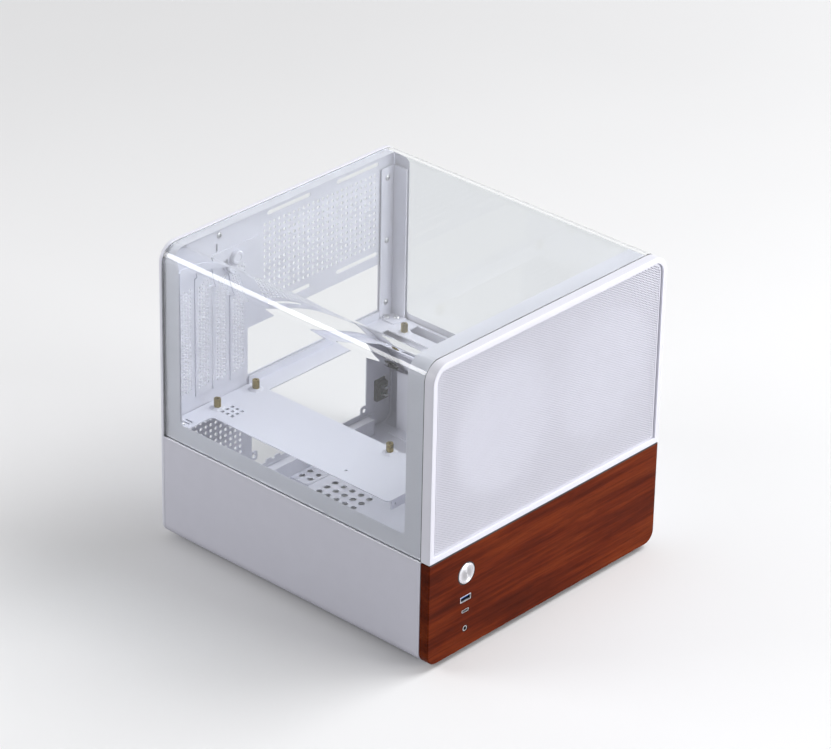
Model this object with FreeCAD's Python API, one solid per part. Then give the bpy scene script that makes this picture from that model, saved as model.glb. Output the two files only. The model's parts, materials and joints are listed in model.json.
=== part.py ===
import FreeCAD, Part
import math
import os

# A cube-shaped computer case: a folded steel chassis with a recessed rear wall and a
# horizontal board tray, a bent glass cover over its upper part, painted lower side panels,
# and a front made of a framed mesh above a wooden panel with the power button and ports.
# Places are counted from the body's left side, front face and underside, in millimetres.

# Body
caseWidth = 282.0
caseDepth = 304.0
caseHeight = 272.0
splitHeight = 95.0
topRadius = 16.0
bottomRadius = 11.0
sheet = 1.0
seam = 0.8
seatRadius = 1.5
fitGap = 0.4
endFlat = 0.05

# Glass cover
glassThickness = 4.0

# Front
frontDepth = 9.4
rimWidth = 5.0
rimBottom = 7.0
rimBevel = 1.0
meshRecess = 4.5
meshThickness = 0.8
meshGap = 0.1
meshLedge = 3.0
meshCornerRadius = 3.0
woodThickness = 9.0
woodChamfer = 0.8
frontGap = 2.6
frontReturn = 12.0

# Controls on the wood, all on one upright line
controlsX = 44.5
buttonZ = 70.3
buttonDiameter = 18.4
buttonProud = 0.9
buttonTravel = 1.2
buttonRunning = 0.3
buttonBevel = 1.2
capClearance = 0.6
stemDiameter = 5.0
sleeveWall = 0.8
sleeveSides = 24
usbZ = 46.8
usbWidth = 13.2
usbHeight = 5.8
usbShell = 0.4
tongueThickness = 1.9
tongueInset = 1.2
usbCZ = 35.2
usbCWidth = 9.0
usbCHeight = 3.2
jackZ = 18.5
jackDiameter = 6.4
jackBore = 3.5
jackLength = 15.4
portRecess = 0.4
boardThickness = 1.6
boardMargin = 6.0
boardScrewEdge = 3.6
switchSide = 6.0
switchThickness = 0.6

# Front fan openings
fanSize = 120.0
fanOpening = 114.0
fanHolePitch = 105.0
fanHoleRadius = 2.2
screwHoleSides = 6
fanGap = 2.0
fanFromTop = 80.0

# Rear wall
rearRecess = 3.5
rimDepth = 3.0
ioWidth = 158.75
ioHeight = 44.45
ioFromStandoff = 2.4
ioDrop = 0.64
slotPitch = 20.32
slotCount = 4
slotOpening = 13.0
slotBottom = 118.0
slotTopDrop = 32.0
slotFromIo = 1.8
slotLap = 5.0
slotHead = 14.0
coverWidth = 18.9
coverHoleWide = 2.4
coverHoleGap = 7.25
coverHoleColumns = 3
coverHoleRows = 4
coverHolesLow = 7.0
coverHolesHigh = 18.0
slitWidth = 2.2
ventPitchX = 14.5
ventPitchZ = 14.8
ventHole = 7.0
ventColumns = 10
ventFromRight = 159.0
ventFromTop = 28.4
ventOverIo = 24.0
fanSlotFromRight = 159.6
fanSlotSpan = 135.6
fanSlotOverIo = 11.0
fanSlotFromTop = 15.4
fanSlotLength = 52.0
fanSlotWidth = 4.0
lowVentAside = 14.0
lowVentRows = 5
lowVentLeft = 27.0
lowVentBottom = 28.0

# Retaining plate over the tops of the slot covers
retainerLeft = 14.5
retainerPastSlots = 10.6
retainerLap = 7.0
retainerTopDrop = 10.0
thumbscrewFromSlots = 17.4
thumbscrewDrop = 1.0
thumbscrewDiameter = 12.6
thumbscrewHead = 5.0
earDiameter = 17.0
screwDiameter = 3.5
screwClearance = 0.1
screwHead = 6.0
screwHeadHeight = 2.0
screwSides = 8
retainerScrewFromSlots = 34.9
retainerScrewDrop = 4.4
latchSlitFromSlots = 38.9
latchSlitDrop = 15.0
latchSlitLength = 7.0
latchSlitWidth = 1.8
knobSides = 16

# Power supply place
psuWidth = 150.0
psuHeight = 86.0
psuLength = 140.0
psuFromRight = 30.2
psuBottom = 17.0
psuLip = 3.7
psuHoleDiameter = 4.0
psuHoleInset = 6.0
psuHoleLow = 16.0
psuHolePitch = 64.0
psuNotchX = 30.0
psuTeeth = 17.0
psuToothRise = 2.8
psuEar = 4.6
psuRailWidth = 8.0

# Small power socket in the rear wall
socketFromRight = 16.4
socketZ = 38.0
socketWidth = 15.0
socketHeight = 21.0
socketFlange = 1.6
socketDepth = 14.0
socketWall = 1.6
socketPin = 1.6
socketPinPitch = 7.0
socketPinLength = 10.0

# Board tray
trayTop = 107.0
trayLeft = 38.4
trayFront = 79.0
trayStrip = 19.5
trayReturn = 9.0
returnHolePitch = 16.0
returnHoles = 3
returnHoleAside = 8.0
returnHoleRadius = 1.4
cutWidth = 144.4
cutFromRight = 32.0
cutAhead = 39.0
cableSlotFromRight = 21.0
cableSlotWidth = 12.0
cableSlotLength = 117.0
cableSlotAhead = 14.0
trayCornerRadius = 4.0
standoffFromRight = 183.7
standoffBack = 11.2
standoffStepX = 45.72
standoffFarX = 157.48
standoffFarY = 22.86
standoffDeepY = 154.94
padHeight = 1.4
padTopRadius = 5.0
padBaseRadius = 7.0
padSides = 8
standoffHeight = 7.6
standoffAcross = 5.5
standoffBore = 2.5
studRadius = 1.6
studGap = 0.05
trayVentPitch = 5.8
trayVentHole = 3.0
trayVentRows = 3
trayVentColumns = 3
trayVentX = 51.0
trayVentBack = 30.5
trayHoleAside = 13.2
trayHoleBack = 59.4
trayHoleRadius = 1.5
stripSlotX = 15.0
stripSlotBack = 14.5
stripSlotWidth = 2.0
stripSlotLength = 8.0
stripSlotPitch = 4.0

# Floor of the chassis
floorHole = 5.2
floorPitch = 10.1
floorColumns = 6
floorRows = 5
floorVentAside = 20.7
floorVentBack = 85.1
floorPadHole = 5.2
floorPadPitch = 10.0
floorPadAside = 54.2
floorPadBack = 21.1
floorPadWide = 28.0
floorPadDeep = 21.0
floorPadRise = 1.0

# Side frames, posts and feet
frameFlange = 12.0
frameWindowMargin = 18.0
frameBridge = 24.0
deckStrip = 24.5
deckFront = 75.0
postRightLeg = 16.0
postLeftLeg = 8.0
postSideLeg = 16.0
postFootDepth = 18.0
footSides = 12
postScrewLow = 14.0
postScrewPitch = 60.0
postScrews = 3
footScrewNear = 5.5
footScrewFar = 12.5
footScrewStep = 5.5
footDiameter = 24.0
footInset = 34.0
footTaper = 2.0
footHeight = 5.0
skirtWidth = 20.0

# Planes that several pieces share
wallInset = glassThickness + 2 * fitGap + 0.2
rearWall = caseDepth - rearRecess - sheet
chassisFront = frontDepth + frontGap
frameTop = splitHeight - sheet
frameX = bottomRadius + fitGap
frameStart = chassisFront + frontReturn + fitGap
frameEnd = rearWall - socketDepth - 2 * sheet
floorTop = 2 * sheet
fanOffset = (fanSize + fanGap) / 2
shankRadius = screwDiameter / 2 - screwClearance
deckTop = splitHeight
fanZ = caseHeight - fanFromTop
standoffX = caseWidth - standoffFromRight
psuLeft = caseWidth - psuFromRight - psuWidth
socketX = caseWidth - socketFromRight
slotTop = caseHeight - slotTopDrop
ventLeft = caseWidth - ventFromRight
fanSlotLeft = caseWidth - fanSlotFromRight
fanSlotRight = fanSlotLeft + fanSlotSpan
fanSlotHigh = caseHeight - fanSlotFromTop
lowVentColumns = 1 + int((psuLeft - lowVentAside - lowVentLeft) / ventPitchX)
retainerTop = caseHeight - retainerTopDrop
standoffRow = rearWall - standoffBack
standoffSeat = trayTop + padHeight
standoffTop = standoffSeat + standoffHeight
ioLeft = standoffX + ioFromStandoff
ioBottom = standoffTop - ioDrop
ioTop = ioBottom + ioHeight
fanSlotLow = ioTop + fanSlotOverIo
ventTop = caseHeight - ventFromTop
ventRows = 1 + int((ventTop - ioTop - ventOverIo) / ventPitchZ)
ventBottom = ventTop - (ventRows - 1) * ventPitchZ
slotsRight = ioLeft - slotFromIo
retainerRight = slotsRight + retainerPastSlots
thumbscrewX = slotsRight - thumbscrewFromSlots
retainerScrewX = slotsRight - retainerScrewFromSlots
retainerScrewZ = retainerTop - retainerScrewDrop
latchSlitX = slotsRight - latchSlitFromSlots
latchSlitZ = retainerTop - latchSlitDrop
retainerBottom = slotTop - retainerLap
thumbscrewZ = retainerBottom - thumbscrewDrop


def vec(x, y, z):
    return FreeCAD.Vector(x, y, z)


def box(x0, x1, y0, y1, z0, z1):
    return Part.makeBox(x1 - x0, y1 - y0, z1 - z0, vec(x0, y0, z0))


def onFront(y):
    # Puts a flat drawing upright, facing the front
    return lambda u, v: vec(u, y, v)


def onFloor(z):
    # Lays a flat drawing level
    return lambda u, v: vec(u, v, z)


def onSide(x):
    # Puts a flat drawing upright, facing the left side
    return lambda u, v: vec(x, u, v)


def cornerStops(before, point, after, radius):
    # Where a rounded corner starts, its middle and where it ends
    if radius == 0:
        return point, None, point
    toBefore = math.atan2(before[1] - point[1], before[0] - point[0])
    toAfter = math.atan2(after[1] - point[1], after[0] - point[0])
    turn = (toAfter - toBefore + math.pi) % (2 * math.pi) - math.pi
    bisector = toBefore + turn / 2
    reach = radius / math.tan(abs(turn) / 2)
    sag = radius / math.sin(abs(turn) / 2) - radius
    start = (point[0] + reach * math.cos(toBefore), point[1] + reach * math.sin(toBefore))
    middle = (point[0] + sag * math.cos(bisector), point[1] + sag * math.sin(bisector))
    end = (point[0] + reach * math.cos(toAfter), point[1] + reach * math.sin(toAfter))
    return start, middle, end


def roundedWire(points, radii, lift):
    # A closed outline through the points, each corner rounded by its own radius
    stops = []
    for i, point in enumerate(points):
        after = points[(i + 1) % len(points)]
        stops.append(cornerStops(points[i - 1], point, after, radii[i]))
    edges = []
    for i, (start, middle, end) in enumerate(stops):
        if middle is not None:
            edges.append(Part.Arc(lift(*start), lift(*middle), lift(*end)).toShape())
        following = stops[(i + 1) % len(stops)][0]
        if math.dist(end, following) > 1e-6:
            edges.append(Part.makeLine(lift(*end), lift(*following)))
    return Part.Wire(edges)


def rectangle(u0, u1, v0, v1, radius, lift):
    points = [(u0, v0), (u1, v0), (u1, v1), (u0, v1)]
    return roundedWire(points, [radius] * 4, lift)


def polygon(u, v, radius, sides, turn, lift):
    # A regular polygon with this distance from its centre to its corners
    points = []
    for i in range(sides):
        angle = turn + 2 * math.pi * i / sides
        points.append((u + radius * math.cos(angle), v + radius * math.sin(angle)))
    return roundedWire(points, [0] * sides, lift)


def roundHole(u, v, radius, lift):
    # A circle drawn as two half-circle arcs
    right, left = lift(u + radius, v), lift(u - radius, v)
    upper = Part.Arc(right, lift(u, v + radius), left).toShape()
    lower = Part.Arc(left, lift(u, v - radius), right).toShape()
    return Part.Wire([upper, lower])


def plate(outer, holes, push):
    # A flat sheet with holes, pushed out to its thickness
    return Part.makeFace([outer] + holes, "Part::FaceMakerBullseye").extrude(push)


def cylinder(radius, length, place, direction):
    return Part.makeCylinder(radius, length, place, direction)


def fuseAll(shapes):
    return shapes[0].fuse(shapes[1:]).removeSplitter()


def drill(u, v, radius, lift):
    # A small hole, six-sided to keep the faces few
    return polygon(u, v, radius, screwHoleSides, 0, lift)


def prism(radius, sides, length, place, direction):
    # A straight rod with flat sides that starts at the place and runs the way given
    rod = Part.Face(polygon(0, 0, radius, sides, 0, onFloor(0))).extrude(vec(0, 0, length))
    rod.Placement = FreeCAD.Placement(place, FreeCAD.Rotation(vec(0, 0, 1), direction))
    return rod


def bodyOutline(inset, low, high, lift):
    # The body's cross-section between two heights, drawn in by the inset
    lowRadius = 0
    if low < bottomRadius:
        lowRadius = max(bottomRadius - inset, sheet)
    highRadius = 0
    if high > caseHeight - topRadius:
        highRadius = max(topRadius - inset, sheet)
    points = [(inset, low), (caseWidth - inset, low), (caseWidth - inset, high), (inset, high)]
    return roundedWire(points, [lowRadius, lowRadius, highRadius, highRadius], lift)


def bodyPrism(inset, low, high, y0, y1):
    return plate(bodyOutline(inset, low, high, onFront(y0)), [], vec(0, y1 - y0, 0))


def wholePrism(inset, y0, y1):
    return bodyPrism(inset, inset, caseHeight - inset, y0, y1)


def screw(x, y, z, direction, length):
    # A pan-head screw whose head seats on the point given
    outward = direction
    head = prism(screwHead / 2, screwSides, screwHeadHeight, vec(x, y, z), outward)
    shank = prism(shankRadius, screwHoleSides, length, vec(x, y, z), outward * -1)
    return head.fuse(shank)


# Rear wall

def holeGrid(left, bottom, columns, rows, pitchU, pitchV, side, lift):
    # Square holes in columns and rows
    holes = []
    half = side / 2
    for column in range(columns):
        for row in range(rows):
            u, v = left + column * pitchU, bottom + row * pitchV
            holes.append(rectangle(u - half, u + half, v - half, v + half, 0, lift))
    return holes


def slotLeft(index):
    # Left side of one expansion place, counted from the left
    return slotsRight - (slotCount - index) * slotPitch


def psuHoles():
    # Three screw places of a standard power supply
    low, high = psuBottom + psuHoleLow, psuBottom + psuHoleLow + psuHolePitch
    left, right = psuLeft + psuHoleInset, psuLeft + psuWidth - psuHoleInset
    return [(left, low), (left, high), (right, high)]


def psuAperture(y0, y1):
    # The opening over the power supply's end, with a square ear at each screw
    left, right = psuLeft + psuLip, psuLeft + psuWidth - psuLip
    low, high = psuBottom + psuLip, psuBottom + psuHeight - psuLip
    lowX, lowZ = psuLeft + psuWidth - psuHoleInset, psuBottom + psuHoleInset
    ears = []
    for x, z in psuHoles() + [(lowX, lowZ)]:
        x0, x1 = (left, x + psuEar) if x < psuLeft + psuWidth / 2 else (x - psuEar, right)
        ears.append(box(x0, x1, y0, y1, max(z - psuEar, low), min(z + psuEar, high)))
    notchX = psuLeft + psuNotchX
    ears.append(box(notchX - psuTeeth / 2, notchX + psuTeeth / 2, y0, y1, low, low + psuToothRise))
    notch = box(notchX - psuHoleDiameter / 2, notchX + psuHoleDiameter / 2, y0, y1, low, high)
    lowHole = prism(psuHoleDiameter / 2, screwHoleSides, y1 - y0, vec(lowX, y0, lowZ), vec(0, 1, 0))
    return box(left, right, y0, y1, low, high).cut(ears).fuse([notch, lowHole])


def rearWallHoles():
    lift = onFront(rearWall)
    holes = [rectangle(ioLeft, ioLeft + ioWidth, ioBottom, ioTop, 0, lift)]
    low, high = slotBottom + slotLap, slotTop - slotHead
    for index in range(slotCount):
        middle = slotLeft(index) + slotPitch / 2
        holes.append(rectangle(middle - slotOpening / 2, middle + slotOpening / 2, low, high, 0, lift))
    slitX = slotLeft(slotCount // 2)
    holes.append(rectangle(slitX - slitWidth / 2, slitX + slitWidth / 2, low, high, 0, lift))
    holes += holeGrid(ventLeft, ventBottom, ventColumns, ventRows, ventPitchX, ventPitchZ, ventHole, lift)
    holes += holeGrid(lowVentLeft, lowVentBottom, lowVentColumns, lowVentRows, ventPitchX, ventPitchZ,
                      ventHole, lift)
    for v in (fanSlotLow, fanSlotHigh):
        for u in (fanSlotLeft, fanSlotRight - fanSlotLength):
            ends = u, u + fanSlotLength, v - fanSlotWidth / 2, v + fanSlotWidth / 2
            holes.append(rectangle(*ends, fanSlotWidth / 2 - endFlat, lift))
    for x, z in psuHoles():
        holes.append(roundHole(x, z, psuHoleDiameter / 2, lift))
    across, up = socketWidth / 2, socketHeight / 2
    holes.append(rectangle(socketX - across, socketX + across, socketZ - up, socketZ + up, 0, lift))
    holes.append(drill(thumbscrewX, thumbscrewZ, screwDiameter / 2, lift))
    holes.append(drill(retainerScrewX, retainerScrewZ, screwDiameter / 2, lift))
    return holes


def rearPanel():
    rearFace = caseDepth
    rim = wholePrism(0, rearFace - rimDepth, rearFace)
    rim = rim.cut(wholePrism(sheet, rearFace - rimDepth, rearFace - sheet))
    rim = rim.cut(wholePrism(wallInset + sheet, rearFace - sheet, rearFace))
    neck = wholePrism(wallInset, rearWall, rearFace)
    neck = neck.cut(wholePrism(wallInset + sheet, rearWall, rearFace))
    outer = bodyOutline(wallInset, wallInset, caseHeight - wallInset, onFront(rearWall))
    wall = plate(outer, rearWallHoles(), vec(0, sheet, 0))
    wall = wall.cut(psuAperture(rearWall, rearWall + sheet))
    return fuseAll([wall, neck, rim])


def slotCover(index):
    # A blanking cover with short upright slots, lying on the inside of the rear wall
    left = slotLeft(index) + (slotPitch - coverWidth) / 2
    lift = onFront(rearWall - sheet)
    holes = []
    stepX = coverWidth / (coverHoleColumns + 1)
    low, high = slotBottom + coverHolesLow, slotTop - coverHolesHigh
    stepZ = (high - low) / coverHoleRows
    for column in range(coverHoleColumns):
        for row in range(coverHoleRows):
            u = left + (column + 1) * stepX
            v = low + (row + 0.5) * stepZ
            across, up = coverHoleWide / 2, (stepZ - coverHoleGap) / 2
            holes.append(rectangle(u - across, u + across, v - up, v + up, 0, lift))
    outer = rectangle(left, left + coverWidth, slotBottom, slotTop, 0, lift)
    start = vec(thumbscrewX, rearWall - sheet, thumbscrewZ)
    shank = prism(screwDiameter / 2, screwHoleSides, sheet, start, vec(0, 1, 0))
    return plate(outer, holes, vec(0, sheet, 0)).cut(shank)


def slotRetainer():
    # A plate that steps over the cover tops and is screwed to the wall above them
    wall, clamp = rearWall, rearWall - sheet
    points = [(wall, retainerTop), (wall, slotTop + sheet), (clamp, slotTop + sheet),
              (clamp, retainerBottom), (clamp - sheet, retainerBottom),
              (clamp - sheet, slotTop + 2 * sheet), (wall - sheet, slotTop + 2 * sheet),
              (wall - sheet, retainerTop)]
    body = plate(roundedWire(points, [0] * len(points), onSide(retainerLeft)), [],
                 vec(retainerRight - retainerLeft, 0, 0))
    axis = vec(0, 1, 0)
    ear = cylinder(earDiameter / 2, sheet, vec(thumbscrewX, clamp - sheet, thumbscrewZ), axis)
    hole = prism(screwDiameter / 2, screwHoleSides, sheet, vec(thumbscrewX, clamp - sheet, thumbscrewZ), axis)
    start = vec(retainerScrewX, clamp, retainerScrewZ)
    screwHole = prism(screwDiameter / 2, screwHoleSides, sheet, start, axis)
    slit = box(latchSlitX, latchSlitX + latchSlitWidth, clamp, wall,
               latchSlitZ - latchSlitLength / 2, latchSlitZ + latchSlitLength / 2)
    return fuseAll([body, ear]).cut([hole, screwHole, slit])


def thumbscrew():
    # A knurled knob, its flats standing for the knurl, on a threaded shank
    seat = rearWall - 2 * sheet
    lift = onFront(seat - thumbscrewHead)
    outline = polygon(thumbscrewX, thumbscrewZ, thumbscrewDiameter / 2, knobSides, 0, lift)
    knob = plate(outline, [], vec(0, thumbscrewHead, 0))
    start = vec(thumbscrewX, seat, thumbscrewZ)
    shank = prism(shankRadius, screwHoleSides, 4 * sheet, start, vec(0, 1, 0))
    return knob.fuse(shank)


def powerSocket():
    # A snap-in socket: a flange outside the wall, an open cup with two pins
    back = rearWall + sheet
    width, height = socketWidth - 2 * fitGap, socketHeight - 2 * fitGap
    x0, x1 = socketX - width / 2, socketX + width / 2
    z0, z1 = socketZ - height / 2, socketZ + height / 2
    flange = box(x0 - socketFlange, x1 + socketFlange, back, back + socketFlange,
                 z0 - socketFlange, z1 + socketFlange)
    body = box(x0, x1, back - socketDepth, back, z0, z1)
    cup = box(x0 + socketWall, x1 - socketWall, back - socketDepth + socketWall, back + socketFlange,
              z0 + socketWall, z1 - socketWall)
    return fuseAll([flange, body]).cut(cup)


def socketPins():
    start = rearWall + sheet - socketDepth + socketWall
    pins = []
    for side in (-0.5, 0.5):
        z = socketZ + side * socketPinPitch
        pins.append(box(socketX - socketPin, socketX + socketPin, start, start + socketPinLength,
                        z - socketPin / 2, z + socketPin / 2))
    return Part.makeCompound(pins)


# Board tray and standoffs

def standoffSpots():
    return [(standoffX - standoffStepX, standoffRow),
            (standoffX, standoffRow),
            (standoffX + standoffFarX, standoffRow - standoffFarY),
            (standoffX, standoffRow - standoffDeepY)]


def pad(x, y):
    # A raised seat pressed into the tray under a standoff
    solids = []
    for shrink, base in ((0, trayTop), (sheet, trayTop - sheet)):
        low = polygon(x, y, padBaseRadius - shrink, padSides, 0, onFloor(base))
        high = polygon(x, y, padTopRadius - shrink, padSides, 0, onFloor(base + padHeight))
        solids.append(Part.makeLoft([low, high], True, True))
    return solids


def motherboardTray():
    right = caseWidth - wallInset - sheet
    left = wallInset + sheet
    strip = rearWall - trayStrip
    outline = [(left, rearWall), (left, strip), (trayLeft, strip), (trayLeft, trayFront),
               (right, trayFront), (right, rearWall)]
    radii = [0, 0, trayCornerRadius, trayCornerRadius, trayCornerRadius, 0]
    lift = onFloor(trayTop - sheet)
    cutRight = caseWidth - cutFromRight
    holes = [rectangle(cutRight - cutWidth, cutRight, trayFront + cutAhead, strip, 0, lift)]
    cableLeft, cableRear = caseWidth - cableSlotFromRight, strip - cableSlotAhead
    ends = cableLeft, cableLeft + cableSlotWidth, cableRear - cableSlotLength, cableRear
    holes.append(rectangle(*ends, 0, lift))
    holes += holeGrid(trayVentX, rearWall - trayVentBack, trayVentColumns, trayVentRows, trayVentPitch,
                      trayVentPitch, trayVentHole, lift)
    holes.append(drill(trayLeft + trayHoleAside, trayFront + trayHoleBack, trayHoleRadius, lift))
    for x in (stripSlotX, stripSlotX + stripSlotPitch):
        near = rearWall - stripSlotBack
        ends = x, x + stripSlotWidth, near, near + stripSlotLength
        holes.append(rectangle(*ends, 0, lift))
    level = plate(roundedWire(outline, radii, lift), holes, vec(0, 0, sheet))
    rearReturn = box(ioLeft, ioLeft + ioWidth, rearWall - sheet, rearWall, trayTop, ioBottom - sheet)
    sideReturn = box(right - sheet, right, trayFront + trayCornerRadius, rearWall - fitGap, deckTop,
                     trayTop - sheet)
    stripReturn = box(left, left + sheet, strip + trayCornerRadius, rearWall - fitGap, deckTop,
                      trayTop - sheet)
    frontReturnEdge = box(trayLeft + trayCornerRadius, right - trayCornerRadius, trayFront, trayFront + sheet,
                          trayTop - trayReturn, trayTop - sheet)
    drills = []
    for i in range(returnHoles):
        x = trayLeft + returnHoleAside + i * returnHolePitch
        start = vec(x, trayFront, trayTop - trayReturn / 2)
        drills.append(prism(returnHoleRadius, screwHoleSides, sheet, start, vec(0, 1, 0)))
    frontReturnEdge = frontReturnEdge.cut(drills)
    folded = fuseAll([level, rearReturn, sideReturn, stripReturn, frontReturnEdge])
    for x, y in standoffSpots():
        outer, inner = pad(x, y)
        start = vec(x, y, trayTop - 2 * padHeight)
        bore = prism(studRadius + studGap, screwHoleSides, 4 * padHeight, start, vec(0, 0, 1))
        folded = folded.fuse(outer).cut([inner, bore])
    return folded.removeSplitter()


def standoffs():
    # Hexagonal brass standoffs, threaded for the board's screws, with a stud in the tray
    pieces = []
    for x, y in standoffSpots():
        hexagon = polygon(x, y, standoffAcross / math.sqrt(3), 6, 0, onFloor(standoffSeat))
        post = plate(hexagon, [], vec(0, 0, standoffHeight))
        up = vec(0, 0, 1)
        stud = prism(studRadius, screwHoleSides, padHeight + sheet, vec(x, y, trayTop - sheet), up)
        bore = cylinder(standoffBore / 2, standoffHeight - sheet, vec(x, y, standoffSeat + sheet), up)
        pieces.append(post.fuse(stud).cut(bore))
    return Part.makeCompound(pieces)


# Floor, side frames and posts

def floorPlate():
    left, right = frameX, caseWidth - frameX
    lift = onFloor(floorTop - sheet)
    outer = rectangle(left, right, chassisFront, rearWall, 0, lift)
    holes, half = [], floorHole / 2
    for column in range(floorColumns):
        for row in range(floorRows):
            u = psuLeft + floorVentAside + column * floorPitch
            v = rearWall - floorVentBack + row * floorPitch
            holes.append(rectangle(u - half, u + half, v - half, v + half, 0, lift))
    level = plate(outer, holes, vec(0, 0, sheet))
    rearEdge = box(left + frameFlange + fitGap, right - frameFlange - fitGap, rearWall - sheet, rearWall,
                   floorTop, psuBottom)
    floorPadX, floorPadY = psuLeft + floorPadAside, rearWall - floorPadBack
    wide, deep = floorPadWide / 2, floorPadDeep / 2
    raised = box(floorPadX - wide, floorPadX + wide, floorPadY - deep, floorPadY + deep, floorTop,
                 floorTop + floorPadRise)
    hollow = box(floorPadX - wide + sheet, floorPadX + wide - sheet, floorPadY - deep + sheet,
                 floorPadY + deep - sheet, floorTop - sheet, floorTop + floorPadRise - sheet)
    drills = []
    for column in (-0.5, 0.5):
        for row in (-0.5, 0.5):
            place = vec(floorPadX + column * floorPadPitch, floorPadY + row * floorPadPitch, 0)
            drills.append(prism(floorPadHole / 2, screwSides, 3 * floorTop, place, vec(0, 0, 1)))
    return fuseAll([level, rearEdge, raised]).cut([hollow] + drills)


def sideFrame(side):
    # A lower side frame with two windows and a flange along its foot and its top
    lift = onSide(frameX)
    y0, y1 = frameStart + frameWindowMargin, frameEnd - frameWindowMargin
    z0, z1 = floorTop + frameWindowMargin, frameTop - frameWindowMargin
    middle = (y0 + y1) / 2
    windows = []
    for start, end in ((y0, middle - frameBridge / 2), (middle + frameBridge / 2, y1)):
        windows.append(rectangle(start, end, z0, z1, 0, lift))
    web = plate(rectangle(frameStart, frameEnd, floorTop, frameTop, 0, lift), windows, vec(sheet, 0, 0))
    foot = box(frameX, frameX + frameFlange, frameStart, frameEnd, floorTop, floorTop + sheet)
    top = box(frameX, frameX + frameFlange, frameStart, frameEnd, frameTop - sheet, frameTop)
    frame = fuseAll([web, foot, top])
    return frame if side == "left" else mirrored(frame)


def mirrored(shape):
    return shape.mirror(vec(caseWidth / 2, 0, 0), vec(1, 0, 0))


def rearPost(leg):
    # An angle post in the left rear corner, standing on the tray by a folded foot
    inner = wallInset + sheet
    low, high = trayTop, caseHeight - wallInset - topRadius
    rearPart = box(inner, inner + leg, rearWall - sheet, rearWall, low, high)
    sidePart = box(inner, inner + sheet, rearWall - postSideLeg, rearWall, low, high)
    foot = box(inner, inner + leg, rearWall - postFootDepth, rearWall, low, low + sheet)
    post = fuseAll([rearPart, sidePart, foot])
    drills = []
    for x, y in footScrewSpots(leg):
        drills.append(prism(screwDiameter / 2, screwHoleSides, sheet, vec(x, y, low), vec(0, 0, 1)))
    for x, z in postScrewSpots(leg):
        start = vec(x, rearWall - sheet, z)
        drills.append(prism(screwDiameter / 2, screwHoleSides, sheet, start, vec(0, 1, 0)))
    return post.cut(drills)


def legMiddle(leg):
    # Half-way across the flat part of a post's rear leg
    return wallInset + 2 * sheet + (leg - sheet) / 2


def footScrewSpots(leg):
    # One behind the other, stepped aside where the leg is wide enough
    step = footScrewStep if leg > postLeftLeg else 0
    middle = legMiddle(leg)
    return [(middle + step / 2, rearWall - footScrewNear), (middle - step / 2, rearWall - footScrewFar)]


def postScrewSpots(leg):
    return [(legMiddle(leg), trayTop + postScrewLow + i * postScrewPitch) for i in range(postScrews)]


def chassisScrews():
    # Pan-head screws in both rear posts, their feet and the retaining plate
    inward = vec(0, -1, 0)
    pieces = [screw(retainerScrewX, rearWall - sheet, retainerScrewZ, inward, 2 * sheet)]
    for leg, flip in ((postLeftLeg, False), (postRightLeg, True)):
        group = [screw(x, y, trayTop + sheet, vec(0, 0, 1), sheet) for x, y in footScrewSpots(leg)]
        group += [screw(x, rearWall - sheet, z, inward, sheet) for x, z in postScrewSpots(leg)]
        pieces += [mirrored(piece) if flip else piece for piece in group]
    return Part.makeCompound(pieces)


def psuRail(y):
    # A low folded rail across the floor that the power supply rests on
    top = psuBottom
    x0, x1 = psuLeft + psuLip, psuLeft + psuWidth - psuLip
    level = box(x0, x1, y, y + psuRailWidth, top - sheet, top)
    front = box(x0, x1, y, y + sheet, floorTop, top - sheet)
    rear = box(x0, x1, y + psuRailWidth - sheet, y + psuRailWidth, floorTop, top - sheet)
    return fuseAll([level, front, rear])


def feet():
    # Four rubber feet, each tapering down from the floor's underside
    pieces = []
    for x in (footInset, caseWidth - footInset):
        for y in (footInset, caseDepth - footInset):
            wide = polygon(x, y, footDiameter / 2, footSides, 0, onFloor(floorTop - sheet))
            narrow = polygon(x, y, footDiameter / 2 - footTaper, footSides, 0, onFloor(-footHeight))
            pieces.append(Part.makeLoft([narrow, wide], True, True))
    return Part.makeCompound(pieces)


# Outer panels

def lowerPanel(side):
    # A painted side panel with a rounded foot, a shelf on top for the glass and a skirt below
    top = splitHeight
    y0, y1 = frontDepth + fitGap, caseDepth - rimDepth - fitGap
    outer = [(skirtWidth, 0), (0, 0), (0, top), (deckStrip, top), (deckStrip, top - sheet),
             (sheet, top - sheet), (sheet, sheet), (skirtWidth, sheet)]
    radii = [0, bottomRadius, seatRadius, 0, 0, 0, bottomRadius - sheet, 0]
    panel = plate(roundedWire(outer, radii, onFront(y0)), [], vec(0, y1 - y0, 0))
    inner = wallInset - fitGap
    ahead = box(inner, deckStrip, y0, frameStart, top - sheet, top)
    behind = box(inner, deckStrip, rearWall - fitGap, y1, top - sheet, top)
    panel = panel.cut([ahead, behind])
    return panel if side == "left" else mirrored(panel)


def glassCover():
    # One bent sheet of glass: left side, top and right side
    y0, y1 = frontDepth + fitGap, caseDepth - rimDepth - fitGap
    low, top, right = splitHeight, caseHeight, caseWidth
    t = glassThickness
    outline = [(0, low), (t, low), (t, top - t), (right - t, top - t), (right - t, low),
               (right, low), (right, top), (0, top)]
    inner = topRadius - t
    radii = [0, 0, inner, inner, 0, 0, topRadius, topRadius]
    return plate(roundedWire(outline, radii, onFront(y0)), [], vec(0, y1 - y0, 0))


# Front

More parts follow.
